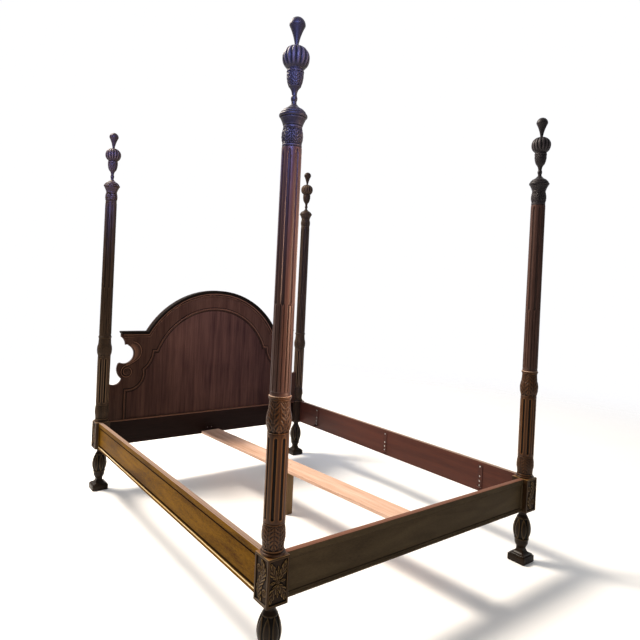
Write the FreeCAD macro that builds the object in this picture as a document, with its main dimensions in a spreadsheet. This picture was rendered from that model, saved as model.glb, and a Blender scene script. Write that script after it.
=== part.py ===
import FreeCAD, Part
import math
import os
import re
import Sketcher

# Four-poster bed: +Z up, +Y towards the head, +X to the right of someone looking from the foot.
# The origin is on the floor in the middle of the bed. Lengths are millimetres.

SIZES = (
    # where the posts stand
    ("post_span_across", 1560, "post axis to post axis across the bed"),
    ("post_span_along", 2082, "post axis to post axis from head to foot"),
    # feet
    ("foot_height", 268, "floor to underside of the post block"),
    ("plinth_width", 98, "square plinth under each foot"),
    ("plinth_height", 34, "height of the plinth"),
    ("plinth_step_height", 7, "height of each step on the plinth"),
    ("plinth_step_inset", 7, "how far each step is set in"),
    ("ankle_height", 70, "floor to the ankle"),
    ("ankle_width", 38, "square section at the ankle"),
    ("foot_bulb_radius", 45, "carved bulb of the foot"),
    # lower posts
    ("block_width", 89, "square block that the rails meet"),
    ("block_height", 172, "height of the block"),
    ("ring_height", 12, "turned ring on the block"),
    ("ring_radius", 40, "radius of the ring"),
    ("small_cup_height", 104, "carved cup above the block"),
    ("small_cup_radius", 44, "widest radius of the small cup"),
    ("lower_shaft_height", 304, "fluted shaft between the cups"),
    ("lower_shaft_radius", 39.5, "radius of the lower shaft"),
    ("cup_height", 135, "acanthus cup that carries the upper post"),
    ("cup_radius", 46.5, "widest radius of the cup"),
    # upper posts
    ("upper_shaft_height", 865, "fluted shaft of the upper post"),
    ("upper_shaft_radius", 37.5, "radius at the foot of the upper shaft"),
    ("shaft_top_radius", 35.5, "radius at the head of the upper shaft"),
    ("cable_height", 317, "lower stretch whose flutes are stopped"),
    ("capital_height", 78, "leaf capital"),
    ("capital_radius", 38.5, "widest radius of the capital"),
    ("cap_height", 74, "domed cap"),
    ("cap_radius", 50, "widest radius of the cap"),
    ("cap_seat_radius", 12, "flat seat of the finial on the cap"),
    # flutes
    ("flute_count", 8, "flutes round each shaft"),
    ("lower_flute_radius", 5, "half width of a flute in the lower shaft"),
    ("upper_flute_radius", 5.5, "half width of a flute in the upper shaft"),
    ("flute_margin", 9, "plain wood past the ends of a flute"),
    # finials
    ("finial_height", 306, "seat to tip"),
    ("finial_radius", 48.5, "gadrooned bulb"),
    # dowels, pins and studs
    ("dowel_radius", 12.5, "dowel between the two halves of a post"),
    ("dowel_length", 120, "length of that dowel"),
    ("pin_radius", 4, "pin under a finial"),
    ("pin_length", 60, "length of that pin"),
    ("stud_radius", 6, "stud between a foot and its block"),
    ("stud_length", 60, "length of that stud"),
    ("bore_gap", 0.3, "room round a dowel or pin that lifts out"),
    ("bore_end_gap", 1.5, "room past the end of a dowel or pin"),
    # rails
    ("rail_bottom", 272, "floor to the lower edge of the rails"),
    ("rail_height", 166, "height of the rails"),
    ("rail_thickness", 19, "board of the side and foot rails"),
    ("head_rail_thickness", 25, "board under the headboard"),
    ("side_setback", 17, "side rail face behind the block face"),
    ("foot_setback", 22, "foot rail face behind the block face"),
    ("rail_end_gap", 0.5, "room between a side rail and a block"),
    ("tenon_length", 30, "tenons of the head and foot rails"),
    ("tenon_thickness", 13, "thickness of those tenons"),
    ("tenon_shoulder", 20, "shoulder above and below a tenon"),
    # strips that frame the sunk fields of the rails
    ("strip_thickness", 6, "how far the strips stand out"),
    ("cap_strip_height", 29, "strip along the top"),
    ("low_strip_height", 18, "strip along the bottom"),
    ("end_strip_width", 14, "strips at both ends"),
    ("head_strip_height", 10, "moulding along the top of the head rail"),
    ("head_strip_thickness", 7, "how far that moulding stands out"),
    # headboard
    ("headboard_top", 1318, "floor to the top of the arch"),
    ("arch_radius", 588, "outer curve of the arch"),
    ("ear_top", 1027, "floor to the top of the ears"),
    ("ear_reach", 652, "middle to the end of an ear"),
    ("ear_depth", 100, "depth of an ear"),
    ("ear_lip", 30, "flat underside of an ear"),
    ("scroll_top", 820, "floor to the shoulder of the scroll"),
    ("scroll_shoulder", 684, "middle to the shoulder of the scroll"),
    ("scroll_bottom", 708, "floor to the foot of the scroll"),
    ("scroll_throat", 665, "middle to the foot of the scroll"),
    ("hollow_rise", 686, "floor to where the border meets the post"),
    ("border_tongue", 30, "border edge to post axis, let into the post"),
    ("border_thickness", 24, "scrolled border board"),
    ("panel_thickness", 12, "veneered panel"),
    ("panel_setback", 5, "panel face behind the border face"),
    ("opening_reach", 648, "middle to the straight edge of the panel"),
    ("opening_shoulder", 639, "floor to the top of the straight edge"),
    ("opening_ledge", 33, "ledge at the shoulder"),
    ("cusp_reach", 530, "middle to the cusp of the panel outline"),
    ("cusp_height", 767, "floor to the cusp"),
    ("notch_reach", 463, "middle to the notch under the arch"),
    ("notch_height", 896, "floor to the notch"),
    ("opening_top", 1190, "floor to the top of the panel"),
    ("opening_radius", 465, "curve of the panel's arch"),
    ("bead_width", 18, "bead round the panel"),
    ("bead_rise", 6, "bead in front of the border"),
    ("crown_height", 44, "crown moulding"),
    ("crown_projection", 34, "how far the crown stands out"),
    ("rosette_radius", 15, "button in the eye of each scroll"),
    ("rosette_height", 8, "how far the button stands out"),
    ("eye_reach", 633, "middle to the eye of a scroll"),
    ("eye_height", 755, "floor to the eye of a scroll"),
    # hooks of the side rails
    ("plate_thickness", 3, "steel plates and brackets"),
    ("hook_plate_width", 15, "plate in the end of a side rail"),
    ("hook_plate_height", 124, "height of that plate"),
    ("receiver_width", 21, "slotted plate in the block"),
    ("receiver_height", 140, "height of that plate"),
    ("hook_thickness", 4, "thickness of a hook"),
    ("hook_height", 16, "height of the hook's neck"),
    ("hook_drop", 10, "nose of the hook below its neck"),
    ("hook_reach", 12, "rail end to the tip of a hook"),
    ("hook_spacing", 58, "upper hook above lower hook"),
    ("rail_lift", 18, "lift that frees the hooks"),
    ("hook_gap", 0.5, "room round a hook"),
    # supports inside
    ("support_height", 296, "floor to the plane that carries a box spring"),
    ("bracket_width", 32, "box-spring bracket"),
    ("bracket_height", 128, "height of that bracket"),
    ("bracket_lip", 30, "lip that carries the box spring"),
    ("bracket_spacing", 765, "between brackets along a rail"),
    ("board_width", 140, "pine centre board"),
    ("board_thickness", 18, "thickness of the board"),
    ("board_offset", 64, "middle of the board right of the middle"),
    ("board_skew", 4.1, "how far the loose board lies askew, in degrees"),
    ("board_end_gap", 12, "board end to the rails"),
    ("leg_width", 45, "square leg under the board"),
    ("leg_station", 85, "leg from the middle towards the head"),
    ("end_bracket_width", 60, "bracket under a board end"),
    ("end_bracket_height", 55, "height of that bracket"),
    ("end_bracket_lip", 38, "lip under the board"),
    # screws
    ("screw_radius", 2, "shank of a screw"),
    ("screw_head_radius", 4, "countersunk head"),
    ("screw_head_height", 2.4, "height of the head"),
    ("screw_length", 15, "length of a screw"),
    ("leg_screw_length", 60, "screws from the board into the leg"),
    # cutting
    ("cut_overrun", 2, "how far a cutter reaches past what it cuts"),
)

# Turned outlines: (share of the height, share of the radius, bow of the stretch to the next point).
# A bow is the rise of an arc as a share of its chord: outward above zero, hollow below, straight at zero.
FOOT_SHARES = (
    (0.000, 0.467, 0.03),
    (0.126, 0.733, 0),
    (0.222, 0.767, 0.25),
    (0.262, 0.790, 0.05),
    (0.495, 1.000, 0.065),
    (0.870, 0.455, -0.08),
    (1.000, 0.533, 0),
)
SMALL_CUP_SHARES = (
    (0.000, 0.890, 0),
    (0.300, 0.925, 0.044),
    (0.490, 1.000, 0.023),
    (0.810, 0.930, 0),
    (0.950, 0.895, 0),
)
CUP_SHARES = (
    (0.000, 0.860, 0),
    (0.060, 0.860, 0.04),
    (0.360, 1.000, 0.045),
    (0.600, 0.885, -0.02),
    (0.915, 0.830, 0.25),
    (1.000, 0.830, 0),
)
CAPITAL_SHARES = (
    (0.000, 0.904, 0),
    (0.200, 0.904, 0.03),
    (0.470, 1.000, 0.04),
    (0.870, 0.885, -0.08),
)
CAP_SHARES = (
    (0.000, 0.700, -0.04),
    (0.360, 0.930, 0.25),
    (0.550, 0.930, 0.10),
    (0.800, 0.570, -0.06),
)
FINIAL_SHARES = (
    (0.000, 0.200, 0),
    (0.033, 0.185, 0.12),
    (0.101, 0.194, -0.12),
    (0.206, 0.464, 0.06),
    (0.379, 0.629, 0),
    (0.408, 0.598, 0.13),
    (0.536, 1.000, 0.20),
    (0.667, 0.160, 0),
    (0.690, 0.150, -0.04),
    (0.900, 0.588, 0.20),
    (1.000, 0.050, 0),
)
# Flare over the plinth: (share of its height, share of the way out from the ankle)
PLINTH_FLARE_SHARES = ((0, 1), (0.35, 0.24), (1, 0))
# Crown moulding: (share of its height, share of its projection)
CROWN_STEP_SHARES = ((0.27, 1.0), (0.55, 0.78), (0.80, 0.45), (1.0, 0.22))
RING_BOW_SHARE = 0.12
SCOOP_BOW_SHARE = -0.525
SCROLL_BOW_SHARE = 0.20
HOLLOW_BOW_SHARE = -0.30
LOBE_BOW_SHARE = -0.24
UPPER_LOBE_BOW_SHARE = -0.12
BRACKET_SCREW_SHARES = (0.10, 0.29, 0.50, 0.93)
PLATE_SCREW_SHARE = 0.44
END_SCREW_SHARE = 0.28
LEG_SCREW_SHARE = 0.28

doc = FreeCAD.newDocument("FourPosterBed")
sheet = doc.addObject("Spreadsheet::Sheet", "Sizes")
for row, (alias, amount, meaning) in enumerate(SIZES, start=1):
    sheet.set("A%d" % row, meaning)
    sheet.set("B%d" % row, str(amount))
    sheet.setAlias("B%d" % row, alias)
doc.recompute()
nodes = []


def bound(text):
    """Name the sheet in front of every size in an expression."""
    return re.sub(r"[a-z]+(?:_[a-z]+)+", lambda found: "Sizes." + found.group(), text)


def value(text):
    return float(sheet.evalExpression(bound(text)))


def bind(item, **texts):
    for prop, text in texts.items():
        item.setExpression(prop, bound(text))
    return item


def place(item, spot, rotation=None):
    """Turn an object, then tie its position to the sheet."""
    if rotation:
        item.Placement = FreeCAD.Placement(FreeCAD.Vector(), rotation)
    for axis, text in zip("xyz", spot):
        item.setExpression("Placement.Base." + axis, bound(text))
    return item


def turn(axis, degrees):
    return FreeCAD.Rotation(FreeCAD.Vector(*axis), degrees)


def node(label, item):
    """Keep an object as a piece of the bed under its own name."""
    item.Label = label
    nodes.append(item)
    return item


def box(name, lengths, corner):
    item = doc.addObject("Part::Box", name)
    bind(item, Length=lengths[0], Width=lengths[1], Height=lengths[2])
    return place(item, corner)


def cylinder(name, radius, height, spot):
    item = doc.addObject("Part::Cylinder", name)
    bind(item, Radius=radius, Height=height)
    return place(item, spot)


def cut(name, base, *tools):
    for index, tool in enumerate(tools):
        result = doc.addObject("Part::Cut", "%s_cut_%d" % (name, index))
        result.Base = base
        result.Tool = tool
        base = result
    return base


def fuse(name, *shapes):
    item = doc.addObject("Part::MultiFuse", name)
    item.Shapes = list(shapes)
    item.Refine = True
    return item


def group(name, items):
    item = doc.addObject("Part::Compound", name)
    item.Links = list(items)
    return item


def copy(name, item, spot, rotation=None):
    return place(group(name, [item]), spot, rotation)


def arc_radius(start, end, bow):
    """Radius of an arc whose rise is a share of its chord."""
    chord = "hypot(({}) - ({}); ({}) - ({}))".format(end[0], start[0], end[1], start[1])
    return "{} * {!r}".format(chord, (1 + 4 * bow * bow) / (8 * abs(bow)))


def draw(sketch, points):
    """Draw a closed outline of (x, y, bow) points, every point and arc tied to the sheet.

    The bow bends the stretch to the next point to the right above zero and to the left below zero.
    A pair of a bow and a radius ties the arc to that radius.
    """
    radii = [bow[1] if isinstance(bow, tuple) else None for x, y, bow in points]
    points = [(x, y, bow[0] if isinstance(bow, tuple) else bow) for x, y, bow in points]
    spots = [FreeCAD.Vector(value(x), value(y), 0) for x, y, bow in points]
    count = len(points)
    starts = []
    for index, (x, y, bow) in enumerate(points):
        start = spots[index]
        end = spots[(index + 1) % count]
        if not bow:
            sketch.addGeometry(Part.LineSegment(start, end), False)
            starts.append(1)
            continue
        along = end - start
        right = FreeCAD.Vector(along.y, -along.x, 0)
        middle = (start + end) * 0.5 + right * bow
        circle = Part.Circle(start, middle, end)
        centre = circle.Center
        first, last = (start, end) if bow > 0 else (end, start)
        angles = [math.atan2(spot.y - centre.y, spot.x - centre.x) for spot in (first, last)]
        round_line = Part.Circle(centre, FreeCAD.Vector(0, 0, 1), circle.Radius)
        sketch.addGeometry(Part.ArcOfCircle(round_line, angles[0], angles[1]), False)
        starts.append(1 if bow > 0 else 2)
    for index in range(count):
        after = (index + 1) % count
        sketch.addConstraint(Sketcher.Constraint("Coincident", index, 3 - starts[index], after, starts[after]))
    for index, (x, y, bow) in enumerate(points):
        for kind, line, text in (("DistanceX", -2, x), ("DistanceY", -1, y)):
            if text == "0":
                sketch.addConstraint(Sketcher.Constraint("PointOnObject", index, starts[index], line))
                continue
            rule = Sketcher.Constraint(kind, -1, 1, index, starts[index], value(text))
            number = sketch.addConstraint(rule)
            sketch.setExpression("Constraints[%d]" % number, bound(text))
        if bow:
            text = radii[index] or arc_radius((x, y), points[(index + 1) % count], bow)
            number = sketch.addConstraint(Sketcher.Constraint("Radius", index, value(text)))
            sketch.setExpression("Constraints[%d]" % number, bound(text))
    return sketch


def body_sketch(body, name, role, points, lift="0"):
    """A sketch on one of the body's own planes, raised along its normal."""
    sketch = body.newObject("Sketcher::SketchObject", name)
    planes = [item for item in body.Origin.OriginFeatures if item.Role == role]
    sketch.AttachmentSupport = (planes[0], [""])
    sketch.MapMode = "FlatFace"
    bind(sketch, **{"AttachmentOffset.Base.z": lift})
    return draw(sketch, points)


def body_box(body, name, lengths, corner):
    item = body.newObject("PartDesign::AdditiveBox", name)
    bind(item, Length=lengths[0], Width=lengths[1], Height=lengths[2])
    return place(item, corner)


def square(half):
    back = "-({})".format(half)
    return ((back, back, 0), (half, back, 0), (half, half, 0), (back, half, 0))


def turned(shares, bottom, height, radius):
    """Points of a turned stretch that stands on the height called bottom."""
    return [
        ("{} * {}".format(radius, wide), "{} + {} * {}".format(bottom, height, high), bow)
        for high, wide, bow in shares
    ]


def revolve(body, name, points, top):
    """Revolve an outline of rising points about the body's axis, closed at the axis."""
    closed = [("0", points[0][1], 0)] + points + [("0", top, 0)]
    sketch = body_sketch(body, name + "_outline", "XZ_Plane", closed)
    item = body.newObject("PartDesign::Revolution", name)
    item.Profile = sketch
    item.ReferenceAxis = (sketch, ["V_Axis"])
    item.Angle = 360


def flutes(body, name, shaft_radius, flute_radius, low, high):
    """Cut round-ended grooves round a shaft: one about a line on its surface, then a polar pattern."""
    sketch = body.newObject("Sketcher::SketchObject", name + "_outline")
    planes = [item for item in body.Origin.OriginFeatures if item.Role == "XZ_Plane"]
    sketch.AttachmentSupport = (planes[0], [""])
    sketch.MapMode = "FlatFace"
    bind(sketch, **{"AttachmentOffset.Base.x": shaft_radius})
    quarter_bow = (math.sqrt(2) - 1) / 2
    points = (
        ("0", low, quarter_bow),
        (flute_radius, "{} + {}".format(low, flute_radius), 0),
        (flute_radius, "{} - {}".format(high, flute_radius), quarter_bow),
        ("0", high, 0),
    )
    draw(sketch, points)
    groove = body.newObject("PartDesign::Groove", name)
    groove.Profile = sketch
    groove.ReferenceAxis = (sketch, ["V_Axis"])
    groove.Angle = 360
    axis = [item for item in body.Origin.OriginFeatures if item.Role == "Z_Axis"][0]
    pattern = body.newObject("PartDesign::PolarPattern", name + "_round")
    pattern.Originals = [groove]
    pattern.Axis = (axis, [""])
    pattern.Angle = 360
    bind(pattern, Occurrences="flute_count")
    body.Tip = pattern


# Heights where one stretch of a post ends and the next begins
BLOCK_TOP = "foot_height + block_height"
SMALL_CUP_BOTTOM = BLOCK_TOP + " + ring_height"
LOWER_SHAFT_BOTTOM = SMALL_CUP_BOTTOM + " + small_cup_height"
CUP_BOTTOM = LOWER_SHAFT_BOTTOM + " + lower_shaft_height"
SEAM = CUP_BOTTOM + " + cup_height"
CAPITAL_BOTTOM = SEAM + " + upper_shaft_height"
CAP_BOTTOM = CAPITAL_BOTTOM + " + capital_height"
CAP_TOP = CAP_BOTTOM + " + cap_height"
TIP = CAP_TOP + " + finial_height"
RAIL_TOP = "rail_bottom + rail_height"

HALF_ACROSS = "post_span_across / 2"
HALF_ALONG = "post_span_along / 2"
CORNERS = {
    "head_left": (-1, 1),
    "head_right": (1, 1),
    "foot_left": (-1, -1),
    "foot_right": (1, -1),
}
SIDES = {"left": -1, "right": 1}
ENDS = {"head": 1, "foot": -1}


def at_corner(corner, height="0"):
    across, along = CORNERS[corner]
    return ("{} * {}".format(across, HALF_ACROSS), "{} * {}".format(along, HALF_ALONG), height)


def low_corner(sign, near, size):
    """Lower bound of a stretch that starts at near and runs outward on the side of sign."""
    return near if sign > 0 else "-({}) - ({})".format(near, size)


def make_dowels():
    """Dowels in the cups, pins under the finials and studs over the feet."""
    dowels = [
        cylinder("dowel_" + corner, "dowel_radius", "dowel_length", at_corner(corner, SEAM + " - dowel_length / 2"))
        for corner in CORNERS
    ]
    studs = [
        cylinder("stud_" + corner, "stud_radius", "stud_length", at_corner(corner, "foot_height - stud_length / 2"))
        for corner in CORNERS
    ]
    node("post_dowels", group("post_dowel_group", dowels))
    node("foot_studs", group("foot_stud_group", studs))
    for corner in CORNERS:
        pin = cylinder("pin_" + corner, "pin_radius", "pin_length", at_corner(corner, CAP_TOP + " - pin_length / 2"))
        node("finial_pin_" + corner, pin)
    return dowels, studs


def make_feet():
    """Feet: stepped square plinth, square flare, and a turned ankle, drum, bulb and neck."""
    body = doc.addObject("PartDesign::Body", "foot_pattern")
    half = "plinth_width / 2"
    body_box(body, "plinth", ("plinth_width", "plinth_width", "plinth_height"), ("-" + half, "-" + half, "0"))
    for step in (1, 2):
        inset = "{} * plinth_step_inset".format(step)
        wide = "plinth_width - 2 * {}".format(inset)
        corner = "{} - plinth_width / 2".format(inset)
        height = "plinth_height + {} * plinth_step_height".format(step - 1)
        body_box(body, "plinth_step_%d" % step, (wide, wide, "plinth_step_height"), (corner, corner, height))
    flare_bottom = "plinth_height + 2 * plinth_step_height"
    flare_half = "(plinth_width / 2 - 3 * plinth_step_inset)"
    sections = []
    for index, (high, wide) in enumerate(PLINTH_FLARE_SHARES):
        reach = "ankle_width / 2 + ({} - ankle_width / 2) * {}".format(flare_half, wide)
        lift = "{0} + (ankle_height - ({0})) * {1}".format(flare_bottom, high)
        sections.append(body_sketch(body, "flare_section_%d" % index, "XY_Plane", square(reach), lift))
    flare = body.newObject("PartDesign::AdditiveLoft", "flare")
    flare.Profile = sections[0]
    flare.Sections = sections[1:]
    turned_height = "(foot_height - ankle_height)"
    points = turned(FOOT_SHARES, "ankle_height", turned_height, "foot_bulb_radius")
    revolve(body, "foot_turning", points, "foot_height")
    bored = cut("foot_bore", body, cylinder("foot_bore_tool", "stud_radius", "stud_length / 2",
                                            ("0", "0", "foot_height - stud_length / 2")))
    for corner in CORNERS:
        node("foot_" + corner, copy("foot_at_" + corner, bored, at_corner(corner)))


def make_lower_post_pattern():
    """Lower post before its mortises: block, ring, small cup, fluted shaft and acanthus cup."""
    body = doc.addObject("PartDesign::Body", "lower_post_pattern")
    half = "block_width / 2"
    body_box(body, "block", ("block_width", "block_width", "block_height"), ("-" + half, "-" + half, "foot_height"))
    points = [
        ("ring_radius", BLOCK_TOP, RING_BOW_SHARE),
        ("ring_radius", SMALL_CUP_BOTTOM, 0),
    ]
    points += turned(SMALL_CUP_SHARES, SMALL_CUP_BOTTOM, "small_cup_height", "small_cup_radius")
    points += [
        ("lower_shaft_radius", LOWER_SHAFT_BOTTOM, 0),
        ("lower_shaft_radius", CUP_BOTTOM, 0),
    ]
    points += turned(CUP_SHARES, CUP_BOTTOM, "cup_height", "cup_radius")
    revolve(body, "lower_turning", points, SEAM)
    low = LOWER_SHAFT_BOTTOM + " + flute_margin"
    high = CUP_BOTTOM + " - flute_margin"
    flutes(body, "lower_flute", "lower_shaft_radius", "lower_flute_radius", low, high)
    return body


def make_upper_posts(headboard):
    """
    Upper posts: fluted shaft, leaf capital and domed cap, bored for the dowel below and the pin above.

    The head posts are let in wherever a piece of the headboard reaches them.
    """
    body = doc.addObject("PartDesign::Body", "upper_post_pattern")
    points = [("upper_shaft_radius", SEAM, 0), ("shaft_top_radius", CAPITAL_BOTTOM, 0)]
    points += turned(CAPITAL_SHARES, CAPITAL_BOTTOM, "capital_height", "capital_radius")
    points += turned(CAP_SHARES, CAP_BOTTOM, "cap_height", "cap_radius")
    points.append(("cap_seat_radius", CAP_TOP, 0))
    revolve(body, "upper_turning", points, CAP_TOP)
    low = SEAM + " + cable_height"
    high = CAPITAL_BOTTOM + " - flute_margin"
    flutes(body, "upper_flute", "upper_shaft_radius", "upper_flute_radius", low, high)
    dowel_bore = cylinder("dowel_bore", "dowel_radius + bore_gap", "dowel_length / 2 + bore_end_gap",
                          ("0", "0", SEAM))
    pin_bore = cylinder("pin_bore", "pin_radius", "pin_length / 2", ("0", "0", CAP_TOP + " - pin_length / 2"))
    bored = cut("upper_post_bore", body, dowel_bore, pin_bore)
    for corner in CORNERS:
        post = copy("upper_post_at_" + corner, bored, at_corner(corner))
        tools = headboard if corner.startswith("head") else []
        node("upper_post_" + corner, cut("upper_post_" + corner, post, *tools))


def make_finials():
    """Finials: stem, leaf vase, gadrooned bulb and teardrop knob, bored for the pin."""
    body = doc.addObject("PartDesign::Body", "finial_pattern")
    revolve(body, "finial_turning", turned(FINIAL_SHARES, CAP_TOP, "finial_height", "finial_radius"), TIP)
    bore = cylinder("finial_bore_tool", "pin_radius + bore_gap", "pin_length / 2 + bore_end_gap",
                    ("0", "0", CAP_TOP))
    bored = cut("finial_bore", body, bore)
    for corner in CORNERS:
        node("finial_" + corner, copy("finial_at_" + corner, bored, at_corner(corner)))


def make_screw(name, length):
    """Countersunk screw whose head is flush at the origin and whose shank runs down."""
    head = doc.addObject("Part::Cone", name + "_head")
    bind(head, Radius1="screw_radius", Radius2="screw_head_radius", Height="screw_head_height")
    place(head, ("0", "0", "-screw_head_height"))
    shank = cylinder(name + "_shank", "screw_radius", length + " - screw_head_height", ("0", "0", "-({})".format(length)))
    return fuse(name, head, shank)


# A screw's shank runs along -Z; these turns send it along an axis of the bed
SHANK_ALONG = {
    ("x", 1): turn((0, 1, 0), -90),
    ("x", -1): turn((0, 1, 0), 90),
    ("y", 1): turn((1, 0, 0), 90),
    ("y", -1): turn((1, 0, 0), -90),
}

SIDE_FACE = "(post_span_across / 2 + block_width / 2 - side_setback)"
SIDE_BOARD_OUTER = "({} - strip_thickness)".format(SIDE_FACE)
SIDE_BOARD_INNER = "({} - rail_thickness)".format(SIDE_BOARD_OUTER)
BLOCK_FACE_ALONG = "(post_span_along / 2 - block_width / 2)"
RAIL_END = "({} - rail_end_gap)".format(BLOCK_FACE_ALONG)
RAIL_MIDDLE_HEIGHT = "(rail_bottom + rail_height / 2)"
HOOK_ACROSS = "({} + rail_thickness / 2)".format(SIDE_BOARD_INNER)
HOOK_SHARES = (-0.5, 0.5)


def across_box(name, side, end, middle, lengths, near, bottom):
    """A box centred across at middle, running from near towards its end of the bed."""
    corner = (
        "{} * {} - ({}) / 2".format(side, middle, lengths[0]),
        low_corner(end, near, lengths[1]),
        bottom,
    )
    return box(name, lengths, corner)


def hook_bottom(share):
    return "{} + hook_spacing * {} - hook_height / 2".format(RAIL_MIDDLE_HEIGHT, share)


def make_receivers(screw):
    """Slotted plates let into the blocks, their screws, and the cavities that the hooks drop into."""
    plates = []
    screws = []
    pockets = {}
    for corner, (side, end) in CORNERS.items():
        low = RAIL_MIDDLE_HEIGHT + " - receiver_height / 2"
        blank = across_box("receiver_blank_" + corner, side, end, HOOK_ACROSS,
                           ("receiver_width", "plate_thickness", "receiver_height"), BLOCK_FACE_ALONG, low)
        slots = []
        cavities = []
        for index, share in enumerate(HOOK_SHARES):
            bottom = hook_bottom(share)
            slot_lengths = ("hook_thickness + 2 * hook_gap", "plate_thickness",
                            "hook_height + rail_lift + 2 * hook_gap")
            slots.append(across_box("slot_%s_%d" % (corner, index), side, end, HOOK_ACROSS, slot_lengths,
                                    BLOCK_FACE_ALONG, bottom + " - hook_gap"))
            cavity_lengths = ("hook_thickness + 2 * hook_gap", "hook_reach",
                              "hook_height + hook_drop + rail_lift + 2 * hook_gap")
            cavities.append(across_box("cavity_%s_%d" % (corner, index), side, end, HOOK_ACROSS, cavity_lengths,
                                       BLOCK_FACE_ALONG + " + plate_thickness", bottom + " - hook_drop - hook_gap"))
        plate_screws = []
        for sign in (-1, 1):
            spot = (
                "{} * {}".format(side, HOOK_ACROSS),
                "{} * {}".format(end, BLOCK_FACE_ALONG),
                "{} + {} * receiver_height * {}".format(RAIL_MIDDLE_HEIGHT, sign, PLATE_SCREW_SHARE),
            )
            plate_screws.append(copy("receiver_screw_%s_%d" % (corner, sign + 1), screw, spot, SHANK_ALONG["y", end]))
        plates.append(cut("receiver_" + corner, blank, group("slot_group_" + corner, slots), *plate_screws))
        screws += plate_screws
        pockets[corner] = [fuse("hook_pocket_" + corner, blank, *cavities)] + plate_screws
    node("rail_receiver_plates", group("receiver_group", plates))
    node("receiver_screws", group("receiver_screw_group", screws))
    return pockets


def make_hooks(name, side, screw):
    """Hook plates in both ends of a side rail, with the screws that hold them."""
    plates = []
    screws = []
    for end_name, end in ENDS.items():
        tag = "%s_%s" % (name, end_name)
        low = RAIL_MIDDLE_HEIGHT + " - hook_plate_height / 2"
        plate_near = RAIL_END + " - plate_thickness"
        pieces = [across_box("hook_plate_" + tag, side, end, HOOK_ACROSS,
                             ("hook_plate_width", "plate_thickness", "hook_plate_height"), plate_near, low)]
        nose_near = BLOCK_FACE_ALONG + " + plate_thickness + hook_gap"
        nose_length = "hook_reach - rail_end_gap - plate_thickness - hook_gap"
        for index, share in enumerate(HOOK_SHARES):
            bottom = hook_bottom(share)
            pieces.append(across_box("hook_neck_%s_%d" % (tag, index), side, end, HOOK_ACROSS,
                                     ("hook_thickness", "hook_reach", "hook_height"), RAIL_END, bottom))
            pieces.append(across_box("hook_nose_%s_%d" % (tag, index), side, end, HOOK_ACROSS,
                                     ("hook_thickness", nose_length, "hook_drop"), nose_near, bottom + " - hook_drop"))
        plate_screws = []
        for sign in (-1, 1):
            spot = (
                "{} * {}".format(side, HOOK_ACROSS),
                "{} * {}".format(end, RAIL_END),
                "{} + {} * hook_plate_height * {}".format(RAIL_MIDDLE_HEIGHT, sign, PLATE_SCREW_SHARE),
            )
            plate_screws.append(copy("hook_screw_%s_%d" % (tag, sign + 1), screw, spot, SHANK_ALONG["y", -end]))
        plates.append(cut("hooks_" + tag, fuse("hook_blank_" + tag, *pieces), *plate_screws))
        screws += plate_screws
    hooks = node("rail_hooks_" + name, group("hook_group_" + name, plates))
    node("hook_screws_" + name, group("hook_screw_group_" + name, screws))
    return [hooks] + screws


def make_spring_brackets(name, side, screw):
    """Three box-spring brackets on the inner face of a side rail, each a strip with a lip and four screws."""
    brackets = []
    screws = []
    for index, station in enumerate((-1, 0, 1)):
        tag = "%s_%d" % (name, index)
        start = "{} * bracket_spacing - bracket_width / 2".format(station)
        bottom = "support_height - plate_thickness"
        strip_near = SIDE_BOARD_INNER + " - plate_thickness"
        strip = box("bracket_strip_" + tag, ("plate_thickness", "bracket_width", "bracket_height"),
                    (low_corner(side, strip_near, "plate_thickness"), start, bottom))
        lip_near = SIDE_BOARD_INNER + " - bracket_lip"
        lip = box("bracket_lip_" + tag, ("bracket_lip", "bracket_width", "plate_thickness"),
                  (low_corner(side, lip_near, "bracket_lip"), start, bottom))
        bracket_screws = []
        for number, share in enumerate(BRACKET_SCREW_SHARES):
            spot = (
                "{} * ({})".format(side, strip_near),
                "{} * bracket_spacing".format(station),
                "{} + bracket_height * {}".format(bottom, share),
            )
            bracket_screws.append(copy("bracket_screw_%s_%d" % (tag, number), screw, spot, SHANK_ALONG["x", side]))
        brackets.append(cut("bracket_" + tag, fuse("bracket_blank_" + tag, strip, lip), *bracket_screws))
        screws += bracket_screws
    node("spring_brackets_" + name, group("bracket_group_" + name, brackets))
    node("bracket_screws_" + name, group("bracket_screw_group_" + name, screws))
    return screws


def make_side_rail(name, side, screw):
    """A side rail: board, strips round its sunk field, hook plates and box-spring brackets."""
    length = "2 * " + RAIL_END
    start = "-" + RAIL_END
    blank = box("side_board_" + name, ("rail_thickness", length, "rail_height"),
                (low_corner(side, SIDE_BOARD_INNER, "rail_thickness"), start, "rail_bottom"))
    tools = make_hooks(name, side, screw) + make_spring_brackets(name, side, screw)
    node("side_rail_" + name, cut("side_rail_" + name, blank, group("side_rail_tools_" + name, tools)))
    face = low_corner(side, SIDE_BOARD_OUTER, "strip_thickness")
    cap = box("cap_strip_" + name, ("strip_thickness", length, "cap_strip_height"),
              (face, start, RAIL_TOP + " - cap_strip_height"))
    node("side_rail_cap_" + name, cap)
    low = box("low_strip_" + name, ("strip_thickness", length, "low_strip_height"), (face, start, "rail_bottom"))
    node("side_rail_bead_" + name, low)
    field = "rail_height - cap_strip_height - low_strip_height"
    ends = [
        box("end_strip_%s_%s" % (name, end_name), ("strip_thickness", "end_strip_width", field),
            (face, low_corner(end, RAIL_END + " - end_strip_width", "end_strip_width"),
             "rail_bottom + low_strip_height"))
        for end_name, end in ENDS.items()
    ]
    node("side_rail_ends_" + name, group("end_strip_group_" + name, ends))


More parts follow.
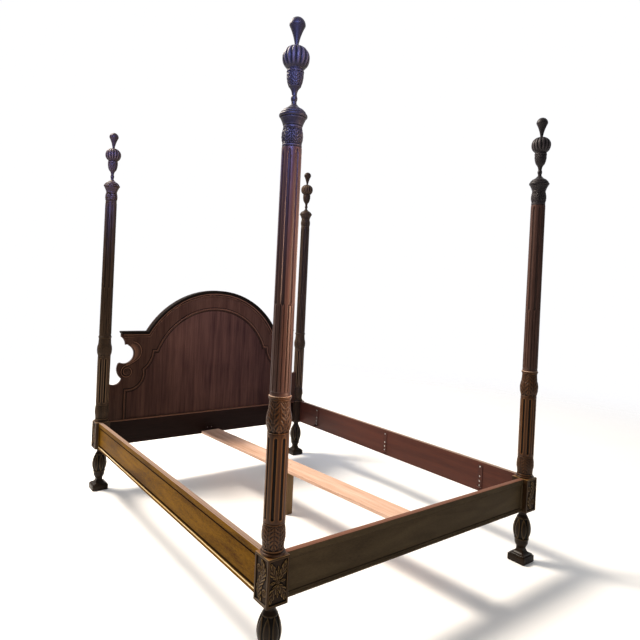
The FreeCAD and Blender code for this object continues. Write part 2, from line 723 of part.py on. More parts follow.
CLEAR_ACROSS = "(post_span_across - block_width)"
FOOT_BOARD_OUTER = "(post_span_along / 2 + block_width / 2 - foot_setback - strip_thickness)"
FOOT_BOARD_INNER = "({} - rail_thickness)".format(FOOT_BOARD_OUTER)
HEAD_RAIL_FRONT = "(post_span_along / 2 - head_rail_thickness / 2)"


def tenoned_rail(name, thickness, front, screws):
    """A rail between two posts; front is its lowest Y. Returns the bar that its tenons are the ends of."""
    board = box(name + "_board", (CLEAR_ACROSS, thickness, "rail_height"),
                ("-{} / 2".format(CLEAR_ACROSS), front, "rail_bottom"))
    tenon_size = ("{} + 2 * tenon_length".format(CLEAR_ACROSS), "tenon_thickness",
                  "rail_height - 2 * tenon_shoulder")
    tenon_corner = ("-{} / 2 - tenon_length".format(CLEAR_ACROSS),
                    "{} + ({} - tenon_thickness) / 2".format(front, thickness), "rail_bottom + tenon_shoulder")
    tenons = box(name + "_tenons", tenon_size, tenon_corner)
    whole = fuse(name + "_whole", board, tenons)
    node(name, cut(name, whole, screws))
    return tenons


def make_foot_rail(screws):
    """Foot rail with strips round its sunk field."""
    tenons = tenoned_rail("foot_rail", "rail_thickness", "-" + FOOT_BOARD_OUTER, screws)
    face = "-{} - strip_thickness".format(FOOT_BOARD_OUTER)
    start = "-{} / 2".format(CLEAR_ACROSS)
    cap = box("foot_cap_strip", (CLEAR_ACROSS, "strip_thickness", "cap_strip_height"),
              (start, face, RAIL_TOP + " - cap_strip_height"))
    node("foot_rail_cap", cap)
    low = box("foot_low_strip", (CLEAR_ACROSS, "strip_thickness", "low_strip_height"), (start, face, "rail_bottom"))
    node("foot_rail_bead", low)
    field = "rail_height - cap_strip_height - low_strip_height"
    ends = [
        box("foot_end_strip_" + name, ("end_strip_width", "strip_thickness", field),
            (low_corner(side, CLEAR_ACROSS + " / 2 - end_strip_width", "end_strip_width"), face,
             "rail_bottom + low_strip_height"))
        for name, side in SIDES.items()
    ]
    node("foot_rail_ends", group("foot_end_strip_group", ends))
    return tenons


def make_head_rail(screws):
    """Head rail under the headboard with a thin moulding along its top."""
    tenons = tenoned_rail("head_rail", "head_rail_thickness", HEAD_RAIL_FRONT, screws)
    strip = box("head_strip", (CLEAR_ACROSS, "head_strip_thickness", "head_strip_height"),
                ("-{} / 2".format(CLEAR_ACROSS), HEAD_RAIL_FRONT + " - head_strip_thickness",
                 RAIL_TOP + " - head_strip_height"))
    node("head_rail_moulding", strip)
    return tenons


BORDER_BACK = "(post_span_along / 2 + border_thickness / 2)"
BORDER_FRONT = "({} - border_thickness)".format(BORDER_BACK)
PANEL_FRONT = "({} + panel_setback)".format(BORDER_FRONT)
FACING_FOOT = turn((1, 0, 0), 90)


def flat_piece(name, points, back, thickness):
    """Extrude an upright outline from the plane called back towards the foot of the bed."""
    sketch = doc.addObject("Sketcher::SketchObject", name + "_outline")
    place(sketch, ("0", back, "0"), FACING_FOOT)
    draw(sketch, points)
    return extrude(name, sketch, thickness)


def extrude(name, outline, thickness):
    item = doc.addObject("Part::Extrusion", name)
    item.Base = outline
    item.DirMode = "Custom"
    item.Dir = FreeCAD.Vector(0, -1, 0)
    item.Solid = True
    return bind(item, LengthFwd=thickness)


def mirror_points(right):
    """Join the right half of an outline, from its foot to its top, to its mirror image.

    Each right-hand point carries the bow of the stretch that leads on from it, the last one over the top.
    """
    bows = [bow for x, y, bow in right]
    left = []
    for index in range(len(right) - 1, -1, -1):
        x, y, bow = right[index]
        before = bows[index - 1] if index else 0
        left.append(("-({})".format(x), y, before))
    return list(right) + left


def crest(radius, top, level):
    """Half the width of an arch at a level, from its radius and its top."""
    return "sqrt(({0}) ^ 2 - (({2}) - ({1}) + ({0})) ^ 2)".format(radius, top, level)


def arch_bow(radius, top, level, sign=1):
    """Bow of the whole arch between its two ends at a level, with the radius that it keeps."""
    half = value(crest(radius, top, level))
    return sign * (value(top) - value(level)) / (2 * half), radius


def make_headboard():
    """Headboard: scrolled border, panel, bead, crown moulding and the rosettes; returns them all."""
    post_edge = HALF_ACROSS + " - border_tongue"
    outer_end = crest("arch_radius", "headboard_top", "ear_top")
    border_points = mirror_points([
        (post_edge, RAIL_TOP, 0),
        (post_edge, "hollow_rise", HOLLOW_BOW_SHARE),
        ("scroll_throat", "scroll_bottom", SCROLL_BOW_SHARE),
        ("scroll_shoulder", "scroll_top", SCOOP_BOW_SHARE),
        ("ear_reach - ear_lip", "ear_top - ear_depth", 0),
        ("ear_reach", "ear_top - ear_depth", 0),
        ("ear_reach", "ear_top", 0),
        (outer_end, "ear_top", arch_bow("arch_radius", "headboard_top", "ear_top")),
    ])
    blank = flat_piece("border_blank", border_points, BORDER_BACK, "border_thickness")
    opening_points = mirror_points([
        ("opening_reach", RAIL_TOP, 0),
        ("opening_reach", "opening_shoulder", 0),
        ("opening_reach - opening_ledge", "opening_shoulder", LOBE_BOW_SHARE),
        ("cusp_reach", "cusp_height", UPPER_LOBE_BOW_SHARE),
        ("notch_reach", "notch_height", 0),
        (crest("opening_radius", "opening_top", "notch_height"), "notch_height",
         arch_bow("opening_radius", "opening_top", "notch_height")),
    ])
    opening = flat_piece("opening", opening_points, BORDER_BACK, "border_thickness")
    border = node("headboard_border", cut("headboard_border", blank, opening))
    panel_back = PANEL_FRONT + " + panel_thickness"
    panel = node("headboard_panel", flat_piece("panel", opening_points, panel_back, "panel_thickness"))
    bead = make_bead(opening_points)
    crown = make_crown(border, panel, bead)
    rosettes = []
    for name, side in SIDES.items():
        rosette = cylinder("rosette_" + name, "rosette_radius", "rosette_height", ("0", "0", "0"))
        place(rosette, ("{} * eye_reach".format(side), BORDER_FRONT, "eye_height"), FACING_FOOT)
        rosettes.append(rosette)
    buttons = node("scroll_rosettes", group("rosette_group", rosettes))
    return [border, panel, bead, crown, buttons]


def make_bead(opening_points):
    """Bead inside the opening of the border, open along the head rail."""
    depth = "panel_setback + bead_rise"
    lowered = [(x, RAIL_TOP + " - bead_width" if y == RAIL_TOP else y, bow) for x, y, bow in opening_points]
    outside = flat_piece("bead_outside", lowered, PANEL_FRONT, depth)
    inner = doc.addObject("Part::Offset2D", "bead_inner_outline")
    inner.Source = outside.Base
    inner.Join = "Intersection"
    bind(inner, Value="-bead_width")
    inside = extrude("bead_inside", inner, depth)
    foot_trim = box("bead_trim", ("2 * opening_reach + 2 * cut_overrun", depth + " + 2 * cut_overrun",
                                  "bead_width + cut_overrun"),
                    ("-opening_reach - cut_overrun", PANEL_FRONT + " - panel_setback - bead_rise - cut_overrun",
                     RAIL_TOP + " - bead_width - cut_overrun"))
    return node("headboard_bead", cut("headboard_bead", outside, inside, foot_trim))


def make_crown(border, panel, bead):
    """Crown moulding in steps over the arch and the ears, returned round the ear ends and let in over the rest."""
    bands = []
    for index, (depth_share, reach_share) in enumerate(CROWN_STEP_SHARES):
        depth = "crown_height * {}".format(depth_share)
        reach = "crown_projection * {}".format(reach_share)
        inner_radius = "arch_radius - {}".format(depth)
        inner_top = "headboard_top - {}".format(depth)
        inner_level = "ear_top - {}".format(depth)
        inner_end = crest(inner_radius, inner_top, inner_level)
        outer_end = crest("arch_radius", "headboard_top", "ear_top")
        end = "ear_reach + {}".format(reach)
        points = [
            ("-({})".format(end), inner_level, 0),
            ("-({})".format(inner_end), inner_level, arch_bow(inner_radius, inner_top, inner_level, -1)),
            (inner_end, inner_level, 0),
            (end, inner_level, 0),
            (end, "ear_top", 0),
            (outer_end, "ear_top", arch_bow("arch_radius", "headboard_top", "ear_top")),
            ("-({})".format(outer_end), "ear_top", 0),
            ("-({})".format(end), "ear_top", 0),
        ]
        bands.append(flat_piece("crown_band_%d" % index, points, BORDER_BACK, "border_thickness + " + reach))
    return node("headboard_crown", cut("headboard_crown", fuse("crown_bands", *bands), border, panel, bead))


def make_lower_posts(pattern, dowels, studs, pockets, head_tenons, foot_tenons, headboard):
    """Lower posts with their mortises, hook pockets and bores, and the grooves for the headboard."""
    for index, corner in enumerate(CORNERS):
        blank = copy("lower_post_at_" + corner, pattern, at_corner(corner))
        tools = [dowels[index], studs[index]] + pockets[corner]
        tools += [head_tenons] + headboard if corner.startswith("head") else [foot_tenons]
        node("lower_post_" + corner, cut("lower_post_" + corner, blank, *tools))


SKEW_TANGENT = "tan(board_skew * 1 deg)"
HEAD_CLEAR = HEAD_RAIL_FRONT
FOOT_CLEAR = FOOT_BOARD_INNER
BOARD_LENGTH = "({} + {} - 2 * board_end_gap)".format(HEAD_CLEAR, FOOT_CLEAR)
BOARD_MIDDLE = "({} - {}) / 2".format(HEAD_CLEAR, FOOT_CLEAR)


def make_centre_support():
    """Loose centre board with its leg, drawn straight and then laid askew."""
    screw = make_screw("leg_screw", "leg_screw_length")
    board = box("board_blank", ("board_width", BOARD_LENGTH, "board_thickness"),
                ("-board_width / 2", "-{} / 2".format(BOARD_LENGTH), "support_height - board_thickness"))
    leg = box("leg_blank", ("leg_width", "leg_width", "support_height - board_thickness"),
              ("-leg_width / 2", "leg_station - leg_width / 2", "0"))
    screws = [
        copy("leg_screw_%d" % index, screw,
             ("{} * leg_width * {}".format(sign, LEG_SCREW_SHARE), "leg_station", "support_height"))
        for index, sign in enumerate((-1, 1))
    ]
    screw_group = group("leg_screw_pair", screws)
    pieces = {
        "centre_board": cut("centre_board", board, screw_group),
        "centre_leg": cut("centre_leg", leg, screw_group),
        "centre_leg_screws": group("leg_screw_set", screws),
    }
    for label, piece in pieces.items():
        laid = copy(label + "_laid", piece, ("board_offset", BOARD_MIDDLE, "0"), turn((0, 0, 1), value("board_skew")))
        bind(laid, **{"Placement.Rotation.Angle": "board_skew * 1 deg"})
        node(label, laid)


def make_end_brackets(screw):
    """Steel brackets on the head rail and the foot rail that carry the ends of the centre board."""
    brackets = []
    screws = {}
    for end_name, end in ENDS.items():
        face = HEAD_CLEAR if end > 0 else FOOT_CLEAR
        middle = "(board_offset - {} * ({} - {} * {}) * {})".format(end, face, end, BOARD_MIDDLE, SKEW_TANGENT)
        start = middle + " - end_bracket_width / 2"
        bottom = "support_height - board_thickness - plate_thickness"
        strip_near = face + " - plate_thickness"
        strip = box("end_strip_plate_" + end_name, ("end_bracket_width", "plate_thickness", "end_bracket_height"),
                    (start, low_corner(end, strip_near, "plate_thickness"), bottom))
        lip_near = face + " - end_bracket_lip"
        lip = box("end_lip_" + end_name, ("end_bracket_width", "end_bracket_lip", "plate_thickness"),
                  (start, low_corner(end, lip_near, "end_bracket_lip"), bottom))
        end_screws = []
        for index, sign in enumerate((-1, 1)):
            spot = (
                "{} + {} * end_bracket_width * {}".format(middle, sign, END_SCREW_SHARE),
                "{} * ({})".format(end, strip_near),
                "{} + end_bracket_height * {}".format(bottom, 1 - END_SCREW_SHARE),
            )
            end_screws.append(copy("end_screw_%s_%d" % (end_name, index), screw, spot, SHANK_ALONG["y", end]))
        brackets.append(cut("end_bracket_" + end_name, fuse("end_blank_" + end_name, strip, lip), *end_screws))
        screws[end_name] = end_screws
    node("board_end_brackets", group("end_bracket_group", brackets))
    node("end_bracket_screws", group("end_screw_group", screws["head"] + screws["foot"]))
    return {name: group("end_screw_tools_" + name, items) for name, items in screws.items()}


def check(item):
    """Stop if an object failed or a piece has no sound solid."""
    if "Invalid" in item.State or "Error" in item.State:
        raise RuntimeError("failed: " + item.Label)
    shape = getattr(item, "Shape", None)
    if item in nodes and (shape is None or shape.isNull() or not shape.isValid() or not shape.Solids):
        raise RuntimeError("no sound solid: " + item.Label)


def main():
    dowels, studs = make_dowels()
    make_feet()
    make_finials()
    screw = make_screw("rail_screw", "screw_length")
    pockets = make_receivers(screw)
    for name, side in SIDES.items():
        make_side_rail(name, side, screw)
    end_screws = make_end_brackets(screw)
    foot_tenons = make_foot_rail(end_screws["foot"])
    head_tenons = make_head_rail(end_screws["head"])
    headboard = make_headboard()
    make_lower_posts(make_lower_post_pattern(), dowels, studs, pockets, head_tenons, foot_tenons, headboard)
    make_upper_posts(headboard)
    make_centre_support()
    doc.recompute()
    for item in doc.Objects:
        check(item)
    os.makedirs("parts", exist_ok=True)
    for item in nodes:
        item.Shape.exportStep("parts/%s.step" % item.Label)
        print("%s: %d solids, %.0f mm3" % (item.Label, len(item.Shape.Solids), item.Shape.Volume))
    print(len(nodes), "pieces")


main()
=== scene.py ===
"""Looks of a four-poster bed: carved posts, arched headboard, rails, fittings and centre board."""

import logging
import math
from collections.abc import Callable, Sequence
from dataclasses import dataclass
from enum import Enum

import bmesh
import bpy
import numpy as np
from mathutils import Matrix, Vector

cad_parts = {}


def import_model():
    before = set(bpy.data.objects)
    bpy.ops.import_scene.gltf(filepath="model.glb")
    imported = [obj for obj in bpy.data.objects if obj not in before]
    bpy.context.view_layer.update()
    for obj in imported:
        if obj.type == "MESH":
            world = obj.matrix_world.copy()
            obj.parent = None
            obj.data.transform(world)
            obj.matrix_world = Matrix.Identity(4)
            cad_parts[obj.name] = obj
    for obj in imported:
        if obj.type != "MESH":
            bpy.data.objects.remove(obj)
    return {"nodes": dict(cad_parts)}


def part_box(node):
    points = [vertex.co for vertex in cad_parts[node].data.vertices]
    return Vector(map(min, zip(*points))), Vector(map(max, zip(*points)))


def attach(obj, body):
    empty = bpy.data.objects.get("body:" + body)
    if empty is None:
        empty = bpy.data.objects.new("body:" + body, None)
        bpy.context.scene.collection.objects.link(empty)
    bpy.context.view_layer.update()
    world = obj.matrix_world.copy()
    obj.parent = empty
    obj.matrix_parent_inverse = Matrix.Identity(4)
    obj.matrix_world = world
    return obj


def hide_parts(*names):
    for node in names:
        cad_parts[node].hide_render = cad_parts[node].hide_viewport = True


log = logging.getLogger("four_poster_bed")
MM = 0.001
# Longest straight run on a bowed line and least radius of a turned point, in mm
CURVE_STEP = 2.0
LEAST_RADIUS = 0.3
# Angles in degrees above which an edge stays sharp
SHARP_CARVED = 38.0
SHARP_MOULDED = 50.0
SHARP_EASED = 60.0
# Share of the glaze and painted shade in the cuts, and of the wear and painted highlight on the ridges, that
# stays on a shaft that is rubbed thin
THIN_TONE = 0.35
# Largest shift of the grain in metres, so that no two pieces show the same figure
PLANK_SHIFT = (3.1, 5.7, 2.3)
Array = np.ndarray
Pair = tuple[float, float]
Triple = tuple[float, float, float]
Materials = Sequence[bpy.types.Material]


class Grain(Enum):
    """Axis that the grain of a piece runs along."""

    X = 0
    Y = 1
    Z = 2


class Corner(Enum):
    """Corners of the bed: name, sign across, sign along, quarter turns of the post."""

    FOOT_LEFT = ("foot_left", -1, -1, 0)
    FOOT_RIGHT = ("foot_right", 1, -1, 1)
    HEAD_RIGHT = ("head_right", 1, 1, 2)
    HEAD_LEFT = ("head_left", -1, 1, 3)


class Side(Enum):
    """Long sides of the bed: name and sign across."""

    LEFT = ("left", -1)
    RIGHT = ("right", 1)


class Strip(Enum):
    """Kinds of moulded strip."""

    CAP = "ogee along the lower edge"
    BASE = "ogee along the upper edge"
    ROUND = "half round"


def linear(code: str) -> tuple[float, float, float, float]:
    """Turn an sRGB hex colour into linear RGBA.

    Args:
        code: colour as #rrggbb.
    Returns:
        Linear red, green, blue and an alpha of 1.
    """
    parts = [int(code[place:place + 2], 16) / 255 for place in (1, 3, 5)]
    red, green, blue = (
        part / 12.92 if part <= 0.04045 else ((part + 0.055) / 1.055) ** 2.4 for part in parts
    )
    return red, green, blue, 1.0


def add(
    tree: bpy.types.NodeTree, kind: str, inputs: dict | None = None, **settings: object
) -> bpy.types.Node:
    """Add a node with its settings, values and links.

    Args:
        tree: tree that takes the node.
        kind: node type, without ShaderNode before it.
        inputs: socket name or number to a value, or to an output to link.
        settings: properties of the node.
    Returns:
        The new node.
    """
    node = tree.nodes.new("ShaderNode" + kind)
    for name, amount in settings.items():
        setattr(node, name, amount)
    for key, amount in (inputs or {}).items():
        if isinstance(amount, bpy.types.NodeSocket):
            tree.links.new(amount, node.inputs[key])
        else:
            node.inputs[key].default_value = amount
    return node


def blank_material(name: str) -> tuple[bpy.types.Material, bpy.types.NodeTree]:
    """Make a material with an empty node tree.

    Args:
        name: name of the material.
    Returns:
        The material and its tree.
    """
    material = bpy.data.materials.new(name)
    material.use_nodes = True
    material.node_tree.nodes.clear()
    return material, material.node_tree


@dataclass(frozen=True)
class WoodFinish:
    """A stained wood: figure along the grain, glaze and painted shade in carved hollows, wear and a painted
    highlight on ridges, lacquer on top.
    """

    name: str
    dark: str
    light: str
    glaze_and_shade: str
    rub: str = ""
    figure_mm: float = 45.0
    streak_mm: float = 5.0
    pore_mm: float = 0.8
    stretch: float = 0.05
    roughness: float = 0.42
    sheen_level: float = 0.28
    coat: float = 0.04
    coat_roughness: float = 0.3
    relief_mm: float = 0.25
    patch_mm: float = 600.0
    patch_share: float = 0.0
    spread: float = 0.28

    def material(self, grain: Grain) -> bpy.types.Material:
        """Give the material for one grain axis, made once."""
        label = "%s_along_%s" % (self.name, grain.name.lower())
        return bpy.data.materials.get(label) or self.build(label, grain)

    def build(self, label: str, grain: Grain) -> bpy.types.Material:
        """Lay out the nodes.

        Args:
            label: name of the material.
            grain: axis of the grain.
        Returns:
            The material.
        """
        material, tree = blank_material(label)
        place = add(tree, "TexCoord").outputs["Object"]
        chance = add(tree, "ObjectInfo").outputs["Random"]
        shift = add(tree, "VectorMath", {0: chance, 1: PLANK_SHIFT}, operation="MULTIPLY").outputs[0]
        moved = add(tree, "VectorMath", {0: place, 1: shift}, operation="ADD").outputs[0]
        scale = [1.0, 1.0, 1.0]
        scale[grain.value] = self.stretch
        laid = add(tree, "Mapping", {"Vector": moved, "Scale": scale}).outputs[0]
        # Broad figure, streaks and pores are one grain seen at three real sizes
        sizes = (
            {"Scale": 1 / (self.figure_mm * MM), "Detail": 3.0, "Distortion": 0.6},
            {"Scale": 1 / (self.streak_mm * MM), "Detail": 4.0, "Roughness": 0.6},
            {"Scale": 1 / (self.pore_mm * MM), "Detail": 2.0},
        )
        figure, streak, pore = (add(tree, "TexNoise", {"Vector": laid, **size}).outputs[0] for size in sizes)
        tone = add(tree, "Math", {0: figure, 1: streak}, operation="ADD").outputs[0]
        if self.patch_share:
            patch = add(tree, "TexNoise", {"Vector": moved, "Scale": 1 / (self.patch_mm * MM)}).outputs[0]
            tone = add(tree, "Math", {0: patch, 1: self.patch_share, 2: tone},
                       operation="MULTIPLY_ADD").outputs[0]
        middle = 1 + self.patch_share / 2
        relief = add(tree, "Attribute", attribute_name="relief").outputs["Fac"]
        # Each measure, the two values it runs between and what those two become
        ranges = (
            (tone, middle - self.spread, middle + self.spread, 0.0, 1.0),
            (pore, 0.62, 0.74, 0.0, 0.45),
            (relief, 0.05, 1.0, 0.0, 0.95),
            (relief, 0.0, -0.6, 0.0, 0.95),
            (streak, 0.3, 0.7, self.roughness - 0.06, self.roughness + 0.1),
        )
        lit, pits, worn_and_highlit, glaze_and_shade_share, gloss = (
            add(tree, "MapRange", dict(enumerate(ends))).outputs[0] for ends in ranges
        )
        colour = linear(self.dark)
        rub = self.rub or self.light
        # Relief above zero mixes in the wear-and-highlight colour: a painted highlight on ridges that is
        # partly real wear. Relief below zero mixes in the glaze-and-shade colour: painted shade in the cuts
        # that is partly real glaze.
        for share, layer in ((lit, self.light), (pits, self.glaze_and_shade), (worn_and_highlit, rub), (glaze_and_shade_share, self.glaze_and_shade)):
            colour = add(tree, "Mix", {0: share, 6: colour, 7: linear(layer)}, data_type="RGBA").outputs[2]
        gloss = add(tree, "Math", {0: glaze_and_shade_share, 1: 0.35, 2: gloss}, operation="MULTIPLY_ADD").outputs[0]
        grit = add(tree, "Math", {0: pore, 1: streak}, operation="ADD").outputs[0]
        bump = add(tree, "Bump", {"Height": grit, "Strength": 0.5, "Distance": self.relief_mm * MM})
        shader = add(tree, "BsdfPrincipled", {
            "Base Color": colour, "Roughness": gloss, "IOR": 1.5, "Specular IOR Level": self.sheen_level,
            "Normal": bump.outputs[0], "Coat Weight": self.coat, "Coat Roughness": self.coat_roughness,
        })
        add(tree, "OutputMaterial", {"Surface": shader.outputs[0]})
        return material


@dataclass(frozen=True)
class PaintFinish(WoodFinish):
    """Brushed paint, in the same layers as a stained wood: brush strokes take the place of grain."""


@dataclass(frozen=True)
class MetalFinish:
    """Plain rolled steel: bare metal whose oxide gives cloudy dull patches."""

    name: str
    bright: str
    dull: str
    patch_mm: float = 14.0
    roughness: float = 0.42

    def material(self) -> bpy.types.Material:
        """Give the material, made once."""
        return bpy.data.materials.get(self.name) or self.build()

    def build(self) -> bpy.types.Material:
        """Lay out the nodes.

        Returns:
            The material.
        """
        material, tree = blank_material(self.name)
        place = add(tree, "TexCoord").outputs["Object"]
        scale = 1 / (self.patch_mm * MM)
        patch = add(tree, "TexNoise", {"Vector": place, "Scale": scale, "Detail": 5.0}).outputs[0]
        share, gloss = (
            add(tree, "MapRange", {0: patch, 1: 0.35, 2: 0.65, 3: low, 4: high}).outputs[0]
            for low, high in ((0.0, 1.0), (self.roughness - 0.1, self.roughness + 0.2))
        )
        colour = add(tree, "Mix", {0: share, 6: linear(self.bright), 7: linear(self.dull)},
                     data_type="RGBA").outputs[2]
        shader = add(tree, "BsdfPrincipled", {"Base Color": colour, "Roughness": gloss, "Metallic": 1.0})
        add(tree, "OutputMaterial", {"Surface": shader.outputs[0]})
        return material


# Walnut-stained hardwood, carved and glazed: warm mid brown on the high wood, near black in the cuts from
# glaze and painted shade, with a painted highlight on the ridges
CARVED = WoodFinish("walnut_stain_carved_and_glazed", dark="#2c190c", light="#4c2e16", glaze_and_shade="#0a0503",
                    rub="#785029", roughness=0.36, sheen_level=0.16)
# Blocks: the same stain darkened as painted shade, with glaze in the cuts, so only the arrises of the
# carving show gold as a painted highlight
CARVED_BLOCK_SHADED = WoodFinish("walnut_stain_glaze_painted_shade", dark="#25170b", light="#3f2a14", glaze_and_shade="#0a0502",
                         rub="#8f7347", roughness=0.4, sheen_level=0.08)
# Posts at the head: the same stain darkened and greyed as painted shade, for sides that face away from the
# light
HEAD_SHADED = WoodFinish("walnut_stain_dulled_by_dust", dark="#221912", light="#443427", glaze_and_shade="#070503",
                   rub="#80664c", roughness=0.42, sheen_level=0.08, coat=0.02)
# Feet: near black, darker than the posts above, under a smoother lacquer with clear lights
FOOT = WoodFinish("walnut_stain_black_brown", dark="#140d07", light="#24180c", glaze_and_shade="#060402",
                  rub="#5c4a2e", roughness=0.32, sheen_level=0.1)
# Upper shafts: stain rubbed thin over the flutes, so an even cool brown
THIN = WoodFinish("walnut_stain_rubbed_thin", dark="#311f19", light="#52382f", glaze_and_shade="#140c0a",
                  rub="#7f5d4e", roughness=0.4, sheen_level=0.2)
# Caps and finials: stain that pooled in close carving, so almost black, with a cool grey cast in the colour
# as a painted cool reflection
DARKENED = WoodFinish("walnut_stain_pooled_dark", dark="#1a1517", light="#2b2528", glaze_and_shade="#0a0809",
                      rub="#62575a", roughness=0.46, sheen_level=0.22)
# Mahogany-stained border boards: deep red-brown with a soft satin shine
BORDER = WoodFinish("mahogany_stain_satin_lacquer", dark="#2f1c16", light="#473127", glaze_and_shade="#0a0503",
                    rub="#7d5844", streak_mm=4.0, sheen_level=0.06, coat=0.02)
# Head rail: the same stain darkened as painted shade, so darker than the boards above
HEAD_RAIL_SHADED = WoodFinish("mahogany_stain_painted_shade", dark="#140b08", light="#221410", glaze_and_shade="#0b0503",
                       rub="#4a3026", streak_mm=4.0, sheen_level=0.05, coat=0.02)
# Sliced mahogany veneer: upright ribbons and broad patches of red-brown, matt and smooth
VENEER = WoodFinish("mahogany_veneer_sliced_upright", dark="#281817", light="#50372e", glaze_and_shade="#160b07",
                    figure_mm=46.0, streak_mm=11.0, stretch=0.055, roughness=0.55, sheen_level=0.04,
                    coat=0.0, relief_mm=0.1, patch_mm=450.0, patch_share=0.9, spread=0.42)
# Brown-stained rail boards: golden brown where light rakes them, long streaks
RAIL = WoodFinish("brown_stained_board_lacquered", dark="#452b08", light="#7d5813", glaze_and_shade="#0e0702",
                  rub="#8e796c", figure_mm=55.0, streak_mm=3.0, stretch=0.2, roughness=0.5,
                  sheen_level=0.02, coat=0.0)
# Foot rail: the same board darkened, dulled and greened as painted shade, for a face turned from the light
RAIL_SHADED = WoodFinish("brown_stained_board_painted_shade", dark="#382d1f", light="#4d402d", glaze_and_shade="#15100a",
                       rub="#765040", figure_mm=55.0, streak_mm=3.0, stretch=0.2, roughness=0.55,
                       sheen_level=0.05, coat=0.0)
# Inner rail faces: thin red-brown stain without lacquer, so duller
RAIL_BACK = WoodFinish("red_brown_stain_unlacquered", dark="#39170e", light="#52281b", glaze_and_shade="#210c06",
                       roughness=0.58, coat=0.0)
# Sawn pine: pale pinkish board, dry and matt, with open streaks
PINE = WoodFinish("sawn_pine_untreated", dark="#bd947a", light="#dfbca6", glaze_and_shade="#8f6248",
                  figure_mm=30.0, streak_mm=7.0, roughness=0.7, coat=0.0, relief_mm=0.4)
# Softwood leg: dark stain soaked in unevenly, matt
LEG = WoodFinish("softwood_dark_stain", dark="#57432a", light="#7a613f", glaze_and_shade="#2c1f12",
                 roughness=0.6, coat=0.0)
# Beech dowel: pale close grain, sanded
DOWEL = WoodFinish("beech_dowel_sanded", dark="#b08a5a", light="#c9a577", glaze_and_shade="#7a5a38",
                   roughness=0.55, coat=0.0)
# Edge of the cup: bare pale wood where the stain has rubbed off, with a painted highlight along the ledge
BARE_EDGE_HIGHLIT = WoodFinish("hardwood_rubbed_bare", dark="#a98468", light="#d8b89c", glaze_and_shade="#6b4630",
                  roughness=0.5, coat=0.0)
# Lower moulding of the side rails: a pale yellow painted highlight, so a thin bright line
EDGE_HIGHLIGHT = WoodFinish("hardwood_edge_painted_highlight", dark="#d2b678", light="#f6e6bc", glaze_and_shade="#8a6a3a",
                         roughness=0.45, coat=0.0)
# Spring brackets painted brown with the rails: a little uneven, no bare metal
BROWN_PAINT = PaintFinish("brown_paint_brushed_on_steel", dark="#32150d", light="#4a2014", glaze_and_shade="#1c0a06",
                          figure_mm=20.0, streak_mm=3.0, stretch=0.6, roughness=0.5, relief_mm=0.05)
# Brackets under the ends of the centre board: near-black painted shade, so they drop into the shade
PAINTED_SHADE_BRACKETS = PaintFinish("painted_shade_dark_on_steel", dark="#140b08", light="#221410", glaze_and_shade="#0b0503",
                         streak_mm=4.0, sheen_level=0.05, coat=0.02)
# Mild steel fittings: dull grey with oxide patches
STEEL = MetalFinish("mild_steel_rolled_and_dulled", bright="#8d8782", dull="#544e4b")
# Zinc-plated screws: pale and bright, small glints
ZINC = MetalFinish("zinc_plated_steel", bright="#f2f0ec", dull="#c9c6c0", patch_mm=3.0, roughness=0.34)


def bowed(points: Sequence[Triple], step: float = CURVE_STEP) -> Array:
    """Follow straight and bowed stretches between points.

    Args:
        points: (x, y, bow); a bow is the rise of the stretch to the next point over its chord, to the
            right above zero.
        step: longest straight run on a bowed stretch.
    Returns:
        Points of the line, a row each.
    """
    line = []
    for (x, y, bow), after in zip(points, points[1:]):
        start = np.array((x, y))
        chord = np.array(after[:2]) - start
        if not bow:
            line.append(start[None])
            continue
        length = math.hypot(*chord)
        half = 2 * math.atan(2 * abs(bow))
        radius = length / 2 / math.sin(half)
        turns = np.linspace(-half, half, max(5, int(2 * radius * half / step) + 1))[:-1]
        along = radius * np.sin(turns) / length + 0.5
        out = radius * (np.cos(turns) - math.cos(half)) / length * math.copysign(1, bow)
        line.append(start + along[:, None] * chord + out[:, None] * np.array((chord[1], -chord[0])))
    line.append(np.array(points[-1][:2])[None])
    return np.concatenate(line)


def round_points(middle: Sequence[float], radius: float | Array, turns: Array) -> Array:
    """Give points round a middle, a row for each turn."""
    return np.stack((middle[0] + radius * np.cos(turns), middle[1] + radius * np.sin(turns)), axis=1)


def resampled(line: Array, step: float) -> Array:
    """Divide a line so that no run is longer than a step, with its corners kept.

    Args:
        line: points, a row each.
        step: longest run.
    Returns:
        The divided line.
    """
    rows = []
    for start, end in zip(line[:-1], line[1:]):
        count = max(1, math.ceil(float(np.linalg.norm(end - start)) / step))
        rows.append(start + np.linspace(0, 1, count, endpoint=False)[:, None] * (end - start))
    return np.concatenate(rows + [line[-1:]])


def mitred(line: Array) -> Array:
    """Give the sideways unit shift of an open line at each point, with mitred corners.

    Args:
        line: points, a row each.
    Returns:
        Left-hand shifts, a row each.
    """
    runs = np.roll(line, -1, axis=0) - line
    runs /= np.maximum(np.linalg.norm(runs, axis=1, keepdims=True), 1e-9)
    after = np.stack((-runs[:, 1], runs[:, 0]), axis=1)
    before = np.roll(after, 1, axis=0)
    before[0] = after[0]
    after[-1] = before[-1]
    return (before + after) / np.maximum(1 + np.sum(before * after, axis=1, keepdims=True), 0.3)


def soft(amount: Array) -> Array:
    """Ease an amount from 0 to 1."""
    held = np.clip(amount, 0, 1)
    return held * held * (3 - 2 * held)


def carved_tone(depth: Array, reach: int = 5, full: float = 2.2) -> Array:
    """Tell cuts from high spots by how far each point lies from the mean of those round it, for glaze and
    painted shade in the cuts and wear and a painted highlight on the ridges.

    Args:
        depth: heights in mm, rows by columns.
        reach: points on each side that count.
        full: rise over the mean in mm that counts as a sharp ridge.
    Returns:
        From -1 in a narrow cut to 1 on a sharp ridge.
    """
    mean = depth
    for axis in (0, 1):
        mean = sum(np.roll(mean, shift, axis=axis) for shift in range(-reach, reach + 1)) / (2 * reach + 1)
    return np.clip((depth - mean) / full + np.minimum(depth, 0) * 0.05, -1, 1)


